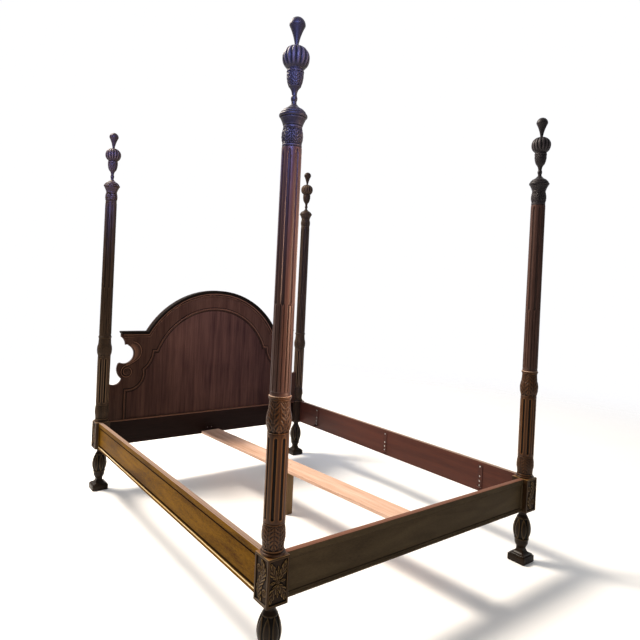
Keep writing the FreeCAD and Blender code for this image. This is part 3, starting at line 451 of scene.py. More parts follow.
def leaf(along: Array, across: Array, half: Array, veins: float, ground: float) -> Array:
    """Carve one acanthus leaf with a midrib, slanted side veins and lobed edges.

    Args:
        along: place from the base, 0, to the tip, 1.
        across: distance from the midrib in mm.
        half: half the width of the leaf there in mm.
        veins: side veins along the leaf.
        ground: depth of the ground round the leaf in mm.
    Returns:
        Heights in mm, zero or below.
    """
    lobes = half * (0.82 + 0.18 * np.abs(np.sin(np.pi * veins * along)))
    share = np.abs(across) / np.maximum(lobes, 0.05)
    body = -1.3 * share ** 2 - 2.0 * np.exp(-(across / 1.5) ** 2)
    body += 1.6 * np.exp(-(across / 0.9) ** 2) * (0.5 + 0.5 * np.cos(4 * np.pi * veins * along))
    body -= 2.0 * (0.5 + 0.5 * np.cos(2 * np.pi * (veins * along - 1.2 * share))) ** 2 * soft(share * 3)
    inside = soft((1 - share) / 0.16) * (along > 0) * (along < 1)
    return -ground + inside * (ground + body)


def profile_tone(profile: Array) -> Array:
    """Darken the hollow corners of a moulding profile with painted shade and lighten its sharp ones with a
    painted highlight.

    Args:
        profile: closed profile, a row for each point.
    Returns:
        From -1 in a hollow corner to 0.6 on a sharp one.
    """
    ahead = np.roll(profile, -1, axis=0) - profile
    behind = profile - np.roll(profile, 1, axis=0)
    turn = behind[:, 0] * ahead[:, 1] - behind[:, 1] * ahead[:, 0]
    turn = np.arctan2(turn, np.sum(ahead * behind, axis=1))
    following = np.roll(profile, -1, axis=0)
    area = np.sum(profile[:, 0] * following[:, 1] - profile[:, 1] * following[:, 0])
    return np.clip(turn * math.copysign(1, area) * np.where(turn * area > 0, .5, 1.6), -1, .6)


def linked(name: str, data: bpy.types.ID) -> bpy.types.Object:
    """Put a mesh, light or camera into the scene as an object.

    Args:
        name: name of the object.
        data: what it shows.
    Returns:
        The object.
    """
    piece = bpy.data.objects.new(name, data)
    bpy.context.scene.collection.objects.link(piece)
    return piece


def smoothed(mesh: bpy.types.Mesh, materials: Materials, sharp: float) -> None:
    """Turn faces outward, smooth them and give them their materials.

    Args:
        mesh: the mesh.
        materials: its materials.
        sharp: angle above which an edge stays sharp, in degrees.
    """
    work = bmesh.new()
    work.from_mesh(mesh)
    bmesh.ops.remove_doubles(work, verts=work.verts, dist=0.01 * MM)
    bmesh.ops.recalc_face_normals(work, faces=work.faces)
    work.to_mesh(mesh)
    work.free()
    for material in materials:
        mesh.materials.append(material)
    mesh.shade_smooth()
    mesh.set_sharp_from_angle(angle=math.radians(sharp))


def keep(piece: bpy.types.Object, body: str, slot: str, *nodes: str) -> None:
    """Let a piece ride on a body and stand for its nodes.

    Args:
        piece: the piece.
        body: body that carries it.
        slot: not used.
        nodes: nodes that it stands for.
    """
    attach(piece, body)
    if nodes:
        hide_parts(*nodes)
    log.info("%s rides on %s", piece.name, body)


class Shape:
    """Points and faces gathered in mm, then made into a mesh in metres."""

    def __init__(self) -> None:
        """Start empty."""
        self.points: list[Array] = []
        self.relief: list[Array] = []
        self.faces: list[list[int]] = []
        self.slots: list[Array] = []
        self.plates: list[list[int]] = []
        self.count = 0

    def tube(
        self, points: Array, relief: Array | float = 0.0, slot: int | Array = 0, closed: bool = True
    ) -> None:
        """Add rings of points joined by four-sided faces.

        Args:
            points: rings by points by 3.
            relief: how far points lie in a cut, to -1, or on a high spot, to 1; it sets glaze and painted
                shade in cuts, and wear and a painted highlight on high spots.
            slot: material of the faces, one number or one for each face.
            closed: whether the first and last rings are closed by a face.
        """
        rows, columns = points.shape[:2]
        number = np.arange(rows * columns).reshape(rows, columns) + self.count
        after = np.roll(number, -1, axis=1)
        faces = np.stack((number[:-1], after[:-1], after[1:], number[1:]), axis=-1).reshape(-1, 4)
        self.points.append(points.reshape(-1, 3))
        self.relief.append(np.broadcast_to(relief, (rows, columns)).reshape(-1))
        self.faces += faces.tolist()
        self.slots.append(np.full(len(faces), slot))
        if closed:
            self.plates += [number[0].tolist(), number[-1].tolist()]
        self.count += rows * columns

    def mesh(self, name: str, materials: Materials, sharp: float = SHARP_CARVED) -> bpy.types.Mesh:
        """Make the mesh.

        Args:
            name: name of the mesh.
            materials: its materials.
            sharp: angle above which an edge stays sharp, in degrees.
        Returns:
            The mesh.
        """
        mesh = bpy.data.meshes.new(name)
        mesh.from_pydata((np.concatenate(self.points) * MM).tolist(), [], self.faces + self.plates)
        slots = np.concatenate(self.slots + [np.zeros(len(self.plates))]).astype(int)
        mesh.polygons.foreach_set("material_index", slots)
        layer = mesh.attributes.new("relief", "FLOAT", "POINT")
        layer.data.foreach_set("value", np.concatenate(self.relief))
        smoothed(mesh, materials, sharp)
        return mesh

    def made(self, name: str, materials: Materials, sharp: float = SHARP_CARVED) -> bpy.types.Object:
        """Make the object and link it to the scene."""
        return linked(name, self.mesh(name, materials, sharp))


@dataclass(frozen=True)
class Turning:
    """Places on a turned surface: angles in a row, heights and radii in a column, in mm."""

    angle: Array
    height: Array
    radius: Array

    def arc(self, count: int, turn: float = 0.0) -> Array:
        """Give the distance along the surface from the nearest of evenly spaced axes."""
        pitch = 2 * np.pi / count
        return ((self.angle - turn + pitch / 2) % pitch - pitch / 2) * self.radius

    def between(self, low: float, high: float, fade: float) -> Array:
        """Give 1 between two heights, eased to 0 over a fade inside each of them."""
        return soft((self.height - low) / fade) * soft((high - self.height) / fade)

    def rings(self, levels: Sequence[float], depth: float, half: float) -> Array:
        """Cut rings of a depth and half a width at some heights."""
        return -depth * sum(np.exp(-((self.height - level) / half) ** 2) for level in levels)


Carving = Callable[[Turning], Array]


def carved_rows(profile: Array, columns: int, carving: Carving) -> tuple[Array, Array]:
    """Turn a profile about Z and carve it.

    Args:
        profile: (radius, height) rows from the bottom up, in mm.
        columns: points round the axis.
        carving: gives heights in mm, zero or below.
    Returns:
        Points, rows by columns by 3, and their tone from -1 in a cut to 1 on a ridge.
    """
    slope = np.gradient(profile, axis=0)
    slope /= np.maximum(np.linalg.norm(slope, axis=1, keepdims=True), 1e-9)
    angle = np.linspace(0, 2 * np.pi, columns, endpoint=False)[None, :]
    radius = profile[:, :1]
    height = profile[:, 1:]
    depth = carving(Turning(angle, height, radius))
    reach = np.maximum(radius + depth * slope[:, 1:], LEAST_RADIUS)
    level = height - depth * slope[:, :1]
    return np.stack((reach * np.cos(angle), reach * np.sin(angle), level), axis=-1), carved_tone(depth)


def outline(shares: Sequence[Triple], bottom: float, top: float, radius: float) -> list[Triple]:
    """Scale a turned outline.

    Args:
        shares: (share of the height, share of the radius, bow).
        bottom: lowest height in mm.
        top: height in mm where the share is 1.
        radius: widest radius in mm.
    Returns:
        (radius, height, bow) points.
    """
    return [(wide * radius, bottom + high * (top - bottom), bow) for high, wide, bow in shares]


@dataclass
class CarvedPost:
    """A turned and carved post in four pieces; the posts share its meshes, each turned to its corner."""

    span: Pair = (780.0, 1041.0)
    plinth: float = 98.0
    plinth_height: float = 34.0
    step: float = 7.0
    ankle: float = 70.0
    ankle_width: float = 38.0
    foot: float = 268.0
    bulb: float = 45.0
    lobes: int = 8
    lobe_base: float = 121.0
    lobe_length: float = 104.0
    lobe_half: float = 19.0
    block: float = 89.0
    block_ease: float = 2.0
    block_top: float = 440.0
    block_rim: Pair = (36.5, 77.0)
    rim_slope: float = 1.6
    block_ground: float = 5.0
    ring: float = 40.0
    ring_top: float = 452.0
    small_cup: float = 44.0
    small_cup_top: float = 556.0
    lower_shaft: float = 39.5
    lower_shaft_top: float = 860.0
    cup: float = 46.5
    cup_leaves: int = 6
    seam: float = 995.0
    seam_gap: float = 0.2
    upper_shaft: Pair = (37.5, 35.5)
    cable_top: float = 1312.0
    upper_shaft_top: float = 1860.0
    capital: float = 38.5
    capital_top: float = 1938.0
    capital_leaves: int = 7
    cap: float = 50.0
    cap_top: float = 2012.0
    finial: float = 48.5
    tip: float = 2318.0
    bore: float = 12.8
    bore_depth: float = 62.0
    pin_bore: float = 4.3
    pin_bore_depth: float = 31.0
    flutes: int = 8
    flute_margin: float = 9.0
    lower_flute_half: float = 6.2
    upper_flute_half: float = 6.8
    columns: int = 192
    finial_columns: int = 168
    foot_shares: tuple[Triple, ...] = (
        (0, .467, .03), (.126, .733, 0), (.222, .767, .25), (.262, .79, .05), (.495, 1, .065),
        (.87, .455, -.08), (1, .533, 0))
    small_cup_shares: tuple[Triple, ...] = (
        (0, .89, 0), (.3, .925, .044), (.49, 1, .023), (.81, .93, 0), (.95, .895, 0))
    cup_shares: tuple[Triple, ...] = (
        (0, .86, 0), (.06, .86, .04), (.36, 1, .045), (.6, .885, -.02), (.915, .83, .25), (1, .83, 0))
    capital_shares: tuple[Triple, ...] = ((0, .904, 0), (.2, .904, .03), (.47, 1, .04), (.87, .885, -.08))
    cap_shares: tuple[Triple, ...] = ((0, .7, -.04), (.36, .93, .25), (.55, .93, .1), (.8, .57, -.06))
    finial_shares: tuple[Triple, ...] = (
        (0, .2, 0), (.033, .185, .12), (.101, .194, -.12), (.206, .464, .06), (.379, .629, 0),
        (.408, .598, .13), (.536, 1, .2), (.667, .16, 0), (.69, .15, -.04), (.9, .588, .2), (1, .05, 0))

    def build(self) -> None:
        """Make the four meshes and set them at the four corners."""
        # At the foot end the block takes a finish darkened as painted shade and the cup's ledge takes pale
        # bare wood with a painted highlight; at the head end every piece but the foot takes one finish
        # darkened as painted shade
        wood, deep, dark, bare_highlit, head_shaded, foot, thin = (
            finish.material(Grain.Z) for finish in (CARVED, CARVED_BLOCK_SHADED, DARKENED, BARE_EDGE_HIGHLIT, HEAD_SHADED, FOOT, THIN)
        )
        # Node, what makes it, finishes at the foot end, finishes at the head end, whether it lifts off
        kinds = (
            ("foot_", self.make_foot, [foot], [foot], False),
            ("lower_post_", self.make_lower, [wood, bare_highlit, deep], [head_shaded] * 3, False),
            ("upper_post_", self.make_upper, [thin, dark], [head_shaded] * 2, True),
            ("finial_", self.make_finial, [dark], [head_shaded], True),
        )
        for prefix, maker, foot_woods, head_woods, lifts in kinds:
            made = maker()
            meshes = {
                -1: made.mesh("carved_%sfoot_end" % prefix, foot_woods),
                1: made.mesh("carved_%shead_end" % prefix, head_woods),
            }
            for corner in Corner:
                label, across, along, quarters = corner.value
                piece = linked("carved_" + prefix + label, meshes[along])
                place = Matrix.Translation((across * self.span[0] * MM, along * self.span[1] * MM, 0))
                piece.matrix_world = place @ Matrix.Rotation(quarters * math.pi / 2, 4, "Z")
                keep(piece, prefix + label if lifts else "bed_frame", "carved_wood", prefix + label)

    @staticmethod
    def turned(
        profile: Array, columns: int, carving: Carving, shape: Shape,
        second_above: float = math.inf, pale: Pair = (0.0, 0.0)
    ) -> Shape:
        """Add a turned and carved stretch to a shape.

        Args:
            profile: (radius, height) rows from the bottom up, in mm.
            columns: points round the axis.
            carving: gives heights in mm, zero or below.
            shape: shape that takes the faces.
            second_above: height above which the faces take the second material.
            pale: heights between which the cuts hold little glaze and painted shade, and the ridges little
                painted highlight.
        Returns:
            The shape.
        """
        points, tone = carved_rows(profile, columns, carving)
        level = profile[:, 1]
        tone[(level > pale[0]) & (level < pale[1])] *= THIN_TONE
        shape.tube(points, tone, np.repeat(level[:-1] > second_above, columns), closed=False)
        return shape

    def make_foot(self) -> Shape:
        """Make the stepped plinth, concave flare, drum and lobed bulb.

        Returns:
            The shape.
        """
        half = self.plinth / 2
        inner = half - self.step
        first = self.plinth_height
        top = first + self.step
        # Half width, height and corner radius of each square section
        rows = [(half - 4, 0, 5), (half - 1.2, 1.2, 6), (half, 4, 7)]
        rows += [(half, first - 3, 7), (half - 1, first - .8, 6), (half - 3.2, first, 5)]
        rows += [(inner, first, 5), (inner, top - 1.5, 5), (inner - 1.5, top, 5)]
        flare = bowed([(inner - self.step, top, -.16), (self.ankle_width / 2, self.ankle + 4, 0)])
        rows += [(wide, high, min(5, wide * .3)) for wide, high in flare]
        turns = np.linspace(0, np.pi / 2, 6)
        around = np.concatenate([turns + quarter * np.pi / 2 for quarter in range(4)])
        corners = np.repeat(((1, 1), (-1, 1), (-1, -1), (1, -1)), len(turns), axis=0)
        sections = []
        for wide, high, ease in rows:
            flat = corners * (wide - ease) + round_points((0, 0), ease, around)
            sections.append(np.column_stack((flat, np.full(len(flat), high))))
        shape = Shape()
        shape.tube(np.array(sections))
        points = outline(self.foot_shares, self.ankle, self.foot, self.bulb)
        profile = resampled(bowed([(1, self.ankle - 1, 0)] + points + [(1, self.foot, 0)]), step=1.6)
        return self.turned(profile, self.columns, self.carve_foot, shape)

    def carve_foot(self, place: Turning) -> Array:
        """Cut almond lobes into the bulb of the foot.

        Args:
            place: places on the foot.
        Returns:
            Heights in mm, zero or below.
        """
        low = self.lobe_base
        high = low + self.lobe_length
        along = np.clip((place.height - low) / self.lobe_length, 0, 1)
        half = self.lobe_half * np.sin(np.pi * along) ** .8
        share = np.abs(place.arc(self.lobes)) / np.maximum(half, .1)
        lobe = -2.6 * soft((share - .7) / .3) - .8 * share ** 2
        groove = -1.3 * np.exp(-((share - .84) * 8) ** 2)
        return np.maximum(lobe + groove, -4.4) * place.between(low - 2, high + 2, fade=6)

    def make_lower(self) -> Shape:
        """Make the carved block, ring, small cup, fluted shaft and large cup.

        Returns:
            The shape.
        """
        shape = Shape()
        self.add_block(shape)
        points = [(self.ring, self.block_top, .5), (self.ring, self.ring_top - 1, 0)]
        points += outline(self.small_cup_shares, self.ring_top, self.small_cup_top, self.small_cup)
        points += [(self.lower_shaft, self.small_cup_top, 0), (self.lower_shaft, self.lower_shaft_top, 0)]
        points += outline(self.cup_shares, self.lower_shaft_top, self.seam, self.cup)
        profile = resampled(bowed(points + [(self.bore, self.seam, 0)]), step=1.35)
        # Rows of the plain stretch between the ends of the flutes are set wider
        level = profile[:, 1]
        margin = 2 * self.flute_margin
        plain = (level > self.small_cup_top + margin) & (level < self.lower_shaft_top - margin)
        profile = profile[~plain | (np.arange(len(profile)) % 4 == 0)]
        return self.turned(profile, self.columns, self.carve_lower, shape, self.seam - 2.5)

    def add_block(self, shape: Shape) -> None:
        """Add the square block: two faces carved inside a raised rim, two plain, arrises eased.

        Args:
            shape: shape that takes the faces.
        """
        half = self.block / 2
        ease = self.block_ease
        fine = np.linspace(ease - half, half - ease, 88)
        plain = fine[[0, -1]]
        bend = np.linspace(0, np.pi / 2, 5)[1:-1]
        low, high = self.foot, self.block_top
        middle_rows = np.linspace(low + ease, high - ease, 152)
        height = np.concatenate(([low, low + .6], middle_rows, [high - .6, high]))[:, None]
        inset = ease * np.concatenate(([1, .35], 0 * middle_rows, [.35, 1]))
        level = height - (low + high) / 2
        flat, away, depth = [], [], []
        # Round the block from the -Y face by the +X and +Y faces to the -X face
        faces = (
            (3, fine, self.crossed_leaves),
            (0, plain, None),
            (1, plain, None),
            (2, fine, self.winding_leaf),
        )
        for quarter, spots, carve in faces:
            turn = quarter * math.pi / 2
            out = np.array((math.cos(turn), math.sin(turn)))
            side = np.array((-out[1], out[0]))
            arris = round_points((out + side) * (half - ease), ease, bend + turn)
            flat += [out * half + spots[:, None] * side, arris]
            away.append(np.tile(out, (len(spots) + len(bend), 1)))
            cut = np.zeros((len(height), len(spots) + len(bend)))
            if carve:
                rims = zip(self.block_rim, (spots, level))
                across, upright = (soft((edge - np.abs(spot)) / self.rim_slope) for edge, spot in rims)
                cut[:, :len(spots)] = carve(spots[None, :], level) * across * upright
            depth.append(cut)
        depth = np.concatenate(depth, axis=1)
        depth[:2] = 0
        depth[-2:] = 0
        shrink = ((half - inset) / half)[:, None, None]
        spots = np.concatenate(flat) * shrink + depth[..., None] * np.concatenate(away)
        points = np.dstack((spots, np.broadcast_to(height, depth.shape)))
        # Glaze and painted shade in the cuts, a painted highlight on the arrises of the carving that is held
        # low where the wood is uncut, as on the rim, and a painted highlight along the top edge
        tone = carved_tone(depth, reach=3, full=1.5)
        tone = np.where(depth > -.3, np.minimum(tone, .25), tone)
        tone[-2:] = .9
        shape.tube(points, tone, slot=2)

    def crossed_leaves(self, across: Array, level: Array) -> Array:
        """Carve crossed leaves round a boss.

        Args:
            across: distance from the middle of the face in mm.
            level: height over the middle of the face in mm.
        Returns:
            Heights in mm, zero or below.
        """
        # Tilt, start, length, half width, veins, sway and drop of each leaf
        leaves = [(math.atan2(62 * end, 27 * side), 8, 68, 15.5, 3.5, 5 * side * end, 0)
                  for side in (-1, 1) for end in (-1, 1)]
        leaves += [(tilt, 9, 24, 6, 3, 0, .8) for tilt in (0, math.pi)]
        leaves += [(tilt, 9, 48, 5, 3, 0, .8) for tilt in (math.pi / 2, -math.pi / 2)]
        depth = -self.block_ground
        for tilt, start, length, wide, veins, sway, drop in leaves:
            along = (across * math.cos(tilt) + level * math.sin(tilt) - start) / length
            off = -across * math.sin(tilt) + level * math.cos(tilt) + sway * np.sin(np.pi * along)
            half = wide * np.sin(np.pi * np.clip(along, .02, .98)) ** .7
            depth = np.maximum(depth, leaf(along, off, half, veins, self.block_ground) - drop)
        spot = np.hypot(across, level)
        boss = -1.2 - 3.2 * (spot / 10) ** 2 - .8 * np.cos(8 * np.arctan2(level, across)) * (spot > 4)
        return np.where(spot < 10.5, np.maximum(boss, depth), depth)

    def winding_leaf(self, across: Array, level: Array) -> Array:
        """Carve a winding leaf with two curls beside it.

        Args:
            across: distance from the middle of the face in mm.
            level: height over the middle of the face in mm.
        Returns:
            Heights in mm, zero or below.
        """
        length = 142
        along = level / length + .5
        sway = 13 * np.sin(2 * np.pi * level / length)
        half = 19 * np.sin(np.pi * np.clip(along, .02, .98)) ** .4
        depth = leaf(along, across - sway, half, 8, self.block_ground)
        for base, sign in ((-38, 1), (34, -1)):
            reach = np.hypot(across - sign * 20, level - base)
            curl = -1.4 - 1.6 * np.abs(np.sin(reach * .62))
            depth = np.where(reach < 14, np.maximum(depth, curl), depth)
        return depth

    def carve_lower(self, place: Turning) -> Array:
        """Carve the small cup, the flutes of the lower shaft and the large cup.

        Args:
            place: places on the lower post.
        Returns:
            Heights in mm, zero or below.
        """
        low, high, margin = self.small_cup_top, self.lower_shaft_top, self.flute_margin
        depth = self.fluted(place, low + margin, high - margin, self.lower_flute_half, depth=5.5, point=1.0)
        depth += self.leafy(place, low - 8, self.ring_top + 6, self.cup_leaves)
        depth += self.leafy(place, self.seam - 14, high + 6, self.cup_leaves)
        return depth + place.rings((self.ring_top, low - 4, high + 3, self.seam - 11), depth=1.6, half=1.3)

    @staticmethod
    def leafy(place: Turning, base: float, tip: float, count: int, veins: float = 6) -> Array:
        """Carve a ring of leaves over a second ring set between them.

        Args:
            place: places on the turning.
            base: height that the leaves grow from.
            tip: height of their tips, above or below the base.
            count: leaves in a ring.
            veins: side veins along a leaf.
        Returns:
            Heights in mm, zero or below.
        """
        ground = 3.6
        along = (place.height - base) / (tip - base)
        held = np.clip(along, .001, .999)
        pitch = 2 * np.pi / count * place.radius
        depth = -ground
        for turn, drop, wide in ((0.0, 0.0, .56), (np.pi / count, 1.0, .5)):
            half = pitch * wide * np.minimum(1, 4 * held) ** .35 * np.sqrt(1 - held ** 3)
            depth = np.maximum(depth, leaf(along, place.arc(count, turn), half, veins, ground) - drop)
        return depth * place.between(min(base, tip), max(base, tip), fade=2.5)

    def fluted(
        self, place: Turning, low: float, high: float, half: float, depth: float, point: float
    ) -> Array:
        """Cut the flutes of a shaft.

        Args:
            place: places on the shaft.
            low: lower end of the flutes.
            high: upper end of the flutes.
            half: half the width of a flute.
            depth: depth of a flute.
            point: length of the upper taper over the half width.
        Returns:
            Heights in mm, zero or below.
        """
        upper = np.clip((high - place.height) / (half * point), 0, 1)
        lower = np.clip((place.height - low) / half, 0, 1)
        wide = half * np.sqrt(1 - (1 - lower) ** 2) * (1 - (1 - upper) ** 2) ** .6
        share = np.clip(np.abs(place.arc(self.flutes)) / np.maximum(wide, .01), 0, 1)
        return -depth * np.sqrt(1 - share ** 2) * (wide > .3)

    def make_upper(self) -> Shape:
        """Make the fluted and cabled shaft, the leaf capital and the domed cap.

        Returns:
            The shape.
        """
        low, high = self.upper_shaft
        bottom = self.seam + self.seam_gap
        points = [(self.bore, self.seam + self.bore_depth, 0), (self.bore, bottom, 0), (low, bottom, 0),
                  (low, self.seam + 9, 0), (high, self.upper_shaft_top, 0)]
        points += outline(self.capital_shares, self.upper_shaft_top, self.capital_top, self.capital)
        points += outline(self.cap_shares, self.capital_top, self.cap_top, self.cap)
        profile = bowed(points + [(12, self.cap_top, 0), (1, self.cap_top, 0)])
        # The capital has finer rows than the shaft
        split = int(np.argmax(profile[:, 1] >= self.upper_shaft_top))
        shaft = resampled(profile[:split + 1], step=3.0)
        profile = np.concatenate((shaft, resampled(profile[split:], step=1.2)[1:]))
        top = self.upper_shaft_top - 1
        return self.turned(profile, self.columns, self.carve_upper, Shape(), top, (self.seam + 4, top))

    def carve_upper(self, place: Turning) -> Array:
        """Carve the cabled stretch, the flutes, the capital and the rings of the cap.

        Args:
            place: places on the upper post.
        Returns:
            Heights in mm, zero or below.
        """
        half = self.upper_flute_half
        top = self.upper_shaft_top
        depth = self.fluted(place, self.cable_top, top - 6, half, depth=4.2, point=5.0)
        near = np.abs(place.arc(self.flutes))
        reed = -3.4 * np.exp(-((near - half) / 1.1) ** 2) - .6 * (near < half) * (near / half) ** 2
        depth += reed * place.between(self.seam + 14, self.cable_top + 4, fade=4)
        depth += self.leafy(place, top + 14, self.capital_top - 13, self.capital_leaves, veins=4)
        depth += place.rings([self.seam + 11], depth=2.2, half=1.5)
        depth += place.rings([top + rise for rise in (2, 12, 67, 76)], depth=1.7, half=1.3)
        depth += place.rings([self.capital_top + rise for rise in (26, 42, 52)], depth=1.8, half=1.4)
        return depth * (place.radius > self.bore + 8) * (place.height > self.seam + 1)

    def make_finial(self) -> Shape:
        """Make the stem, leaf vase, gadrooned bulb and teardrop knob.

        Returns:
            The shape.
        """
        bottom = self.cap_top + self.seam_gap
        points = [(self.pin_bore, self.cap_top + self.pin_bore_depth, 0), (self.pin_bore, bottom, 0)]
        points += outline(self.finial_shares, self.cap_top, self.tip, self.finial)
        profile = resampled(bowed(points + [(LEAST_RADIUS, self.tip, 0)], step=1.5), step=1.4)
        profile[:, 1] = np.maximum(profile[:, 1], bottom)
        return self.turned(profile, self.finial_columns, self.carve_finial, Shape())

    def carve_finial(self, place: Turning) -> Array:
        """Carve gadroons on the bulb, leaves on the vase and rings on the stems.

        Args:
            place: places on the finial.
        Returns:
            Heights in mm, zero or below.
        """
        tall = self.tip - self.cap_top
        share = (place.height - self.cap_top) / tall
        lobes = 1 - np.abs(np.cos(8 * place.angle)) ** .55
        bulb = soft((share - .415) / .05) * soft((.655 - share) / .04) * (place.radius > 14)
        gadroons = -4.2 * lobes * bulb
        vase = .8 * self.leafy(place, self.cap_top + 62, self.cap_top + 113, self.cup_leaves, veins=4)
        levels = [self.cap_top + level * tall for level in (.385, .40, .672)]
        rings = place.rings(levels, depth=1.4, half=.004 * tall)
        return (gadroons + vase + rings) * (place.radius > self.pin_bore + 1.5)


def plate(
    name: str, outlines: Sequence[Array], front: float, thickness: float, ease: float, materials: Materials
) -> bpy.types.Object:
    """Make an upright board that faces the foot, with eased edges.

    Args:
        name: name of the piece.
        outlines: closed (x, z) lines in mm, the first outside and the rest holes.
        front: Y of its front face.
        thickness: thickness in mm.
        ease: radius of its edges.
        materials: its materials.
    Returns:
        The object.
    """
    curve = bpy.data.curves.new(name + "_line", "CURVE")
    curve.dimensions = "2D"
    curve.fill_mode = "BOTH"
    curve.extrude = (thickness / 2 - ease) * MM
    curve.bevel_depth = ease * MM
    curve.bevel_resolution = 2
    curve.offset = -ease * MM
    for line in outlines:
        spline = curve.splines.new("POLY")
        spline.points.add(len(line) - 1)
        flat = np.column_stack((line * MM, np.zeros(len(line)), np.ones(len(line))))
        spline.points.foreach_set("co", flat.reshape(-1))
        spline.use_cyclic_u = True
    holder = bpy.data.objects.new(name + "_line", curve)
    mesh = bpy.data.meshes.new_from_object(holder)
    bpy.data.objects.remove(holder)
    bpy.data.curves.remove(curve)
    flat = np.empty(len(mesh.vertices) * 3)
    mesh.vertices.foreach_get("co", flat)
    x, z, depth = flat.reshape(-1, 3).T
    upright = np.column_stack((x, (front + thickness / 2) * MM + depth, z))
    mesh.vertices.foreach_set("co", upright.reshape(-1))
    smoothed(mesh, materials, SHARP_CARVED)
    return linked(name, mesh)


def along_line(line: Array, profile: Array, front: float) -> Array:
    """Run a moulding profile along a line on an upright face.

    Args:
        line: (x, z) points in mm.
        profile: (shift to the left of the line, height towards the foot) points in mm.
        front: Y of the face.
    Returns:
        Points, a row for each point of the line.
    """
    spots = line[:, None, :] + profile[None, :, :1] * mitred(line)[:, None, :]
    level = np.broadcast_to(front - profile[:, 1], spots.shape[:2])
    return np.stack((spots[..., 0], level, spots[..., 1]), axis=-1)


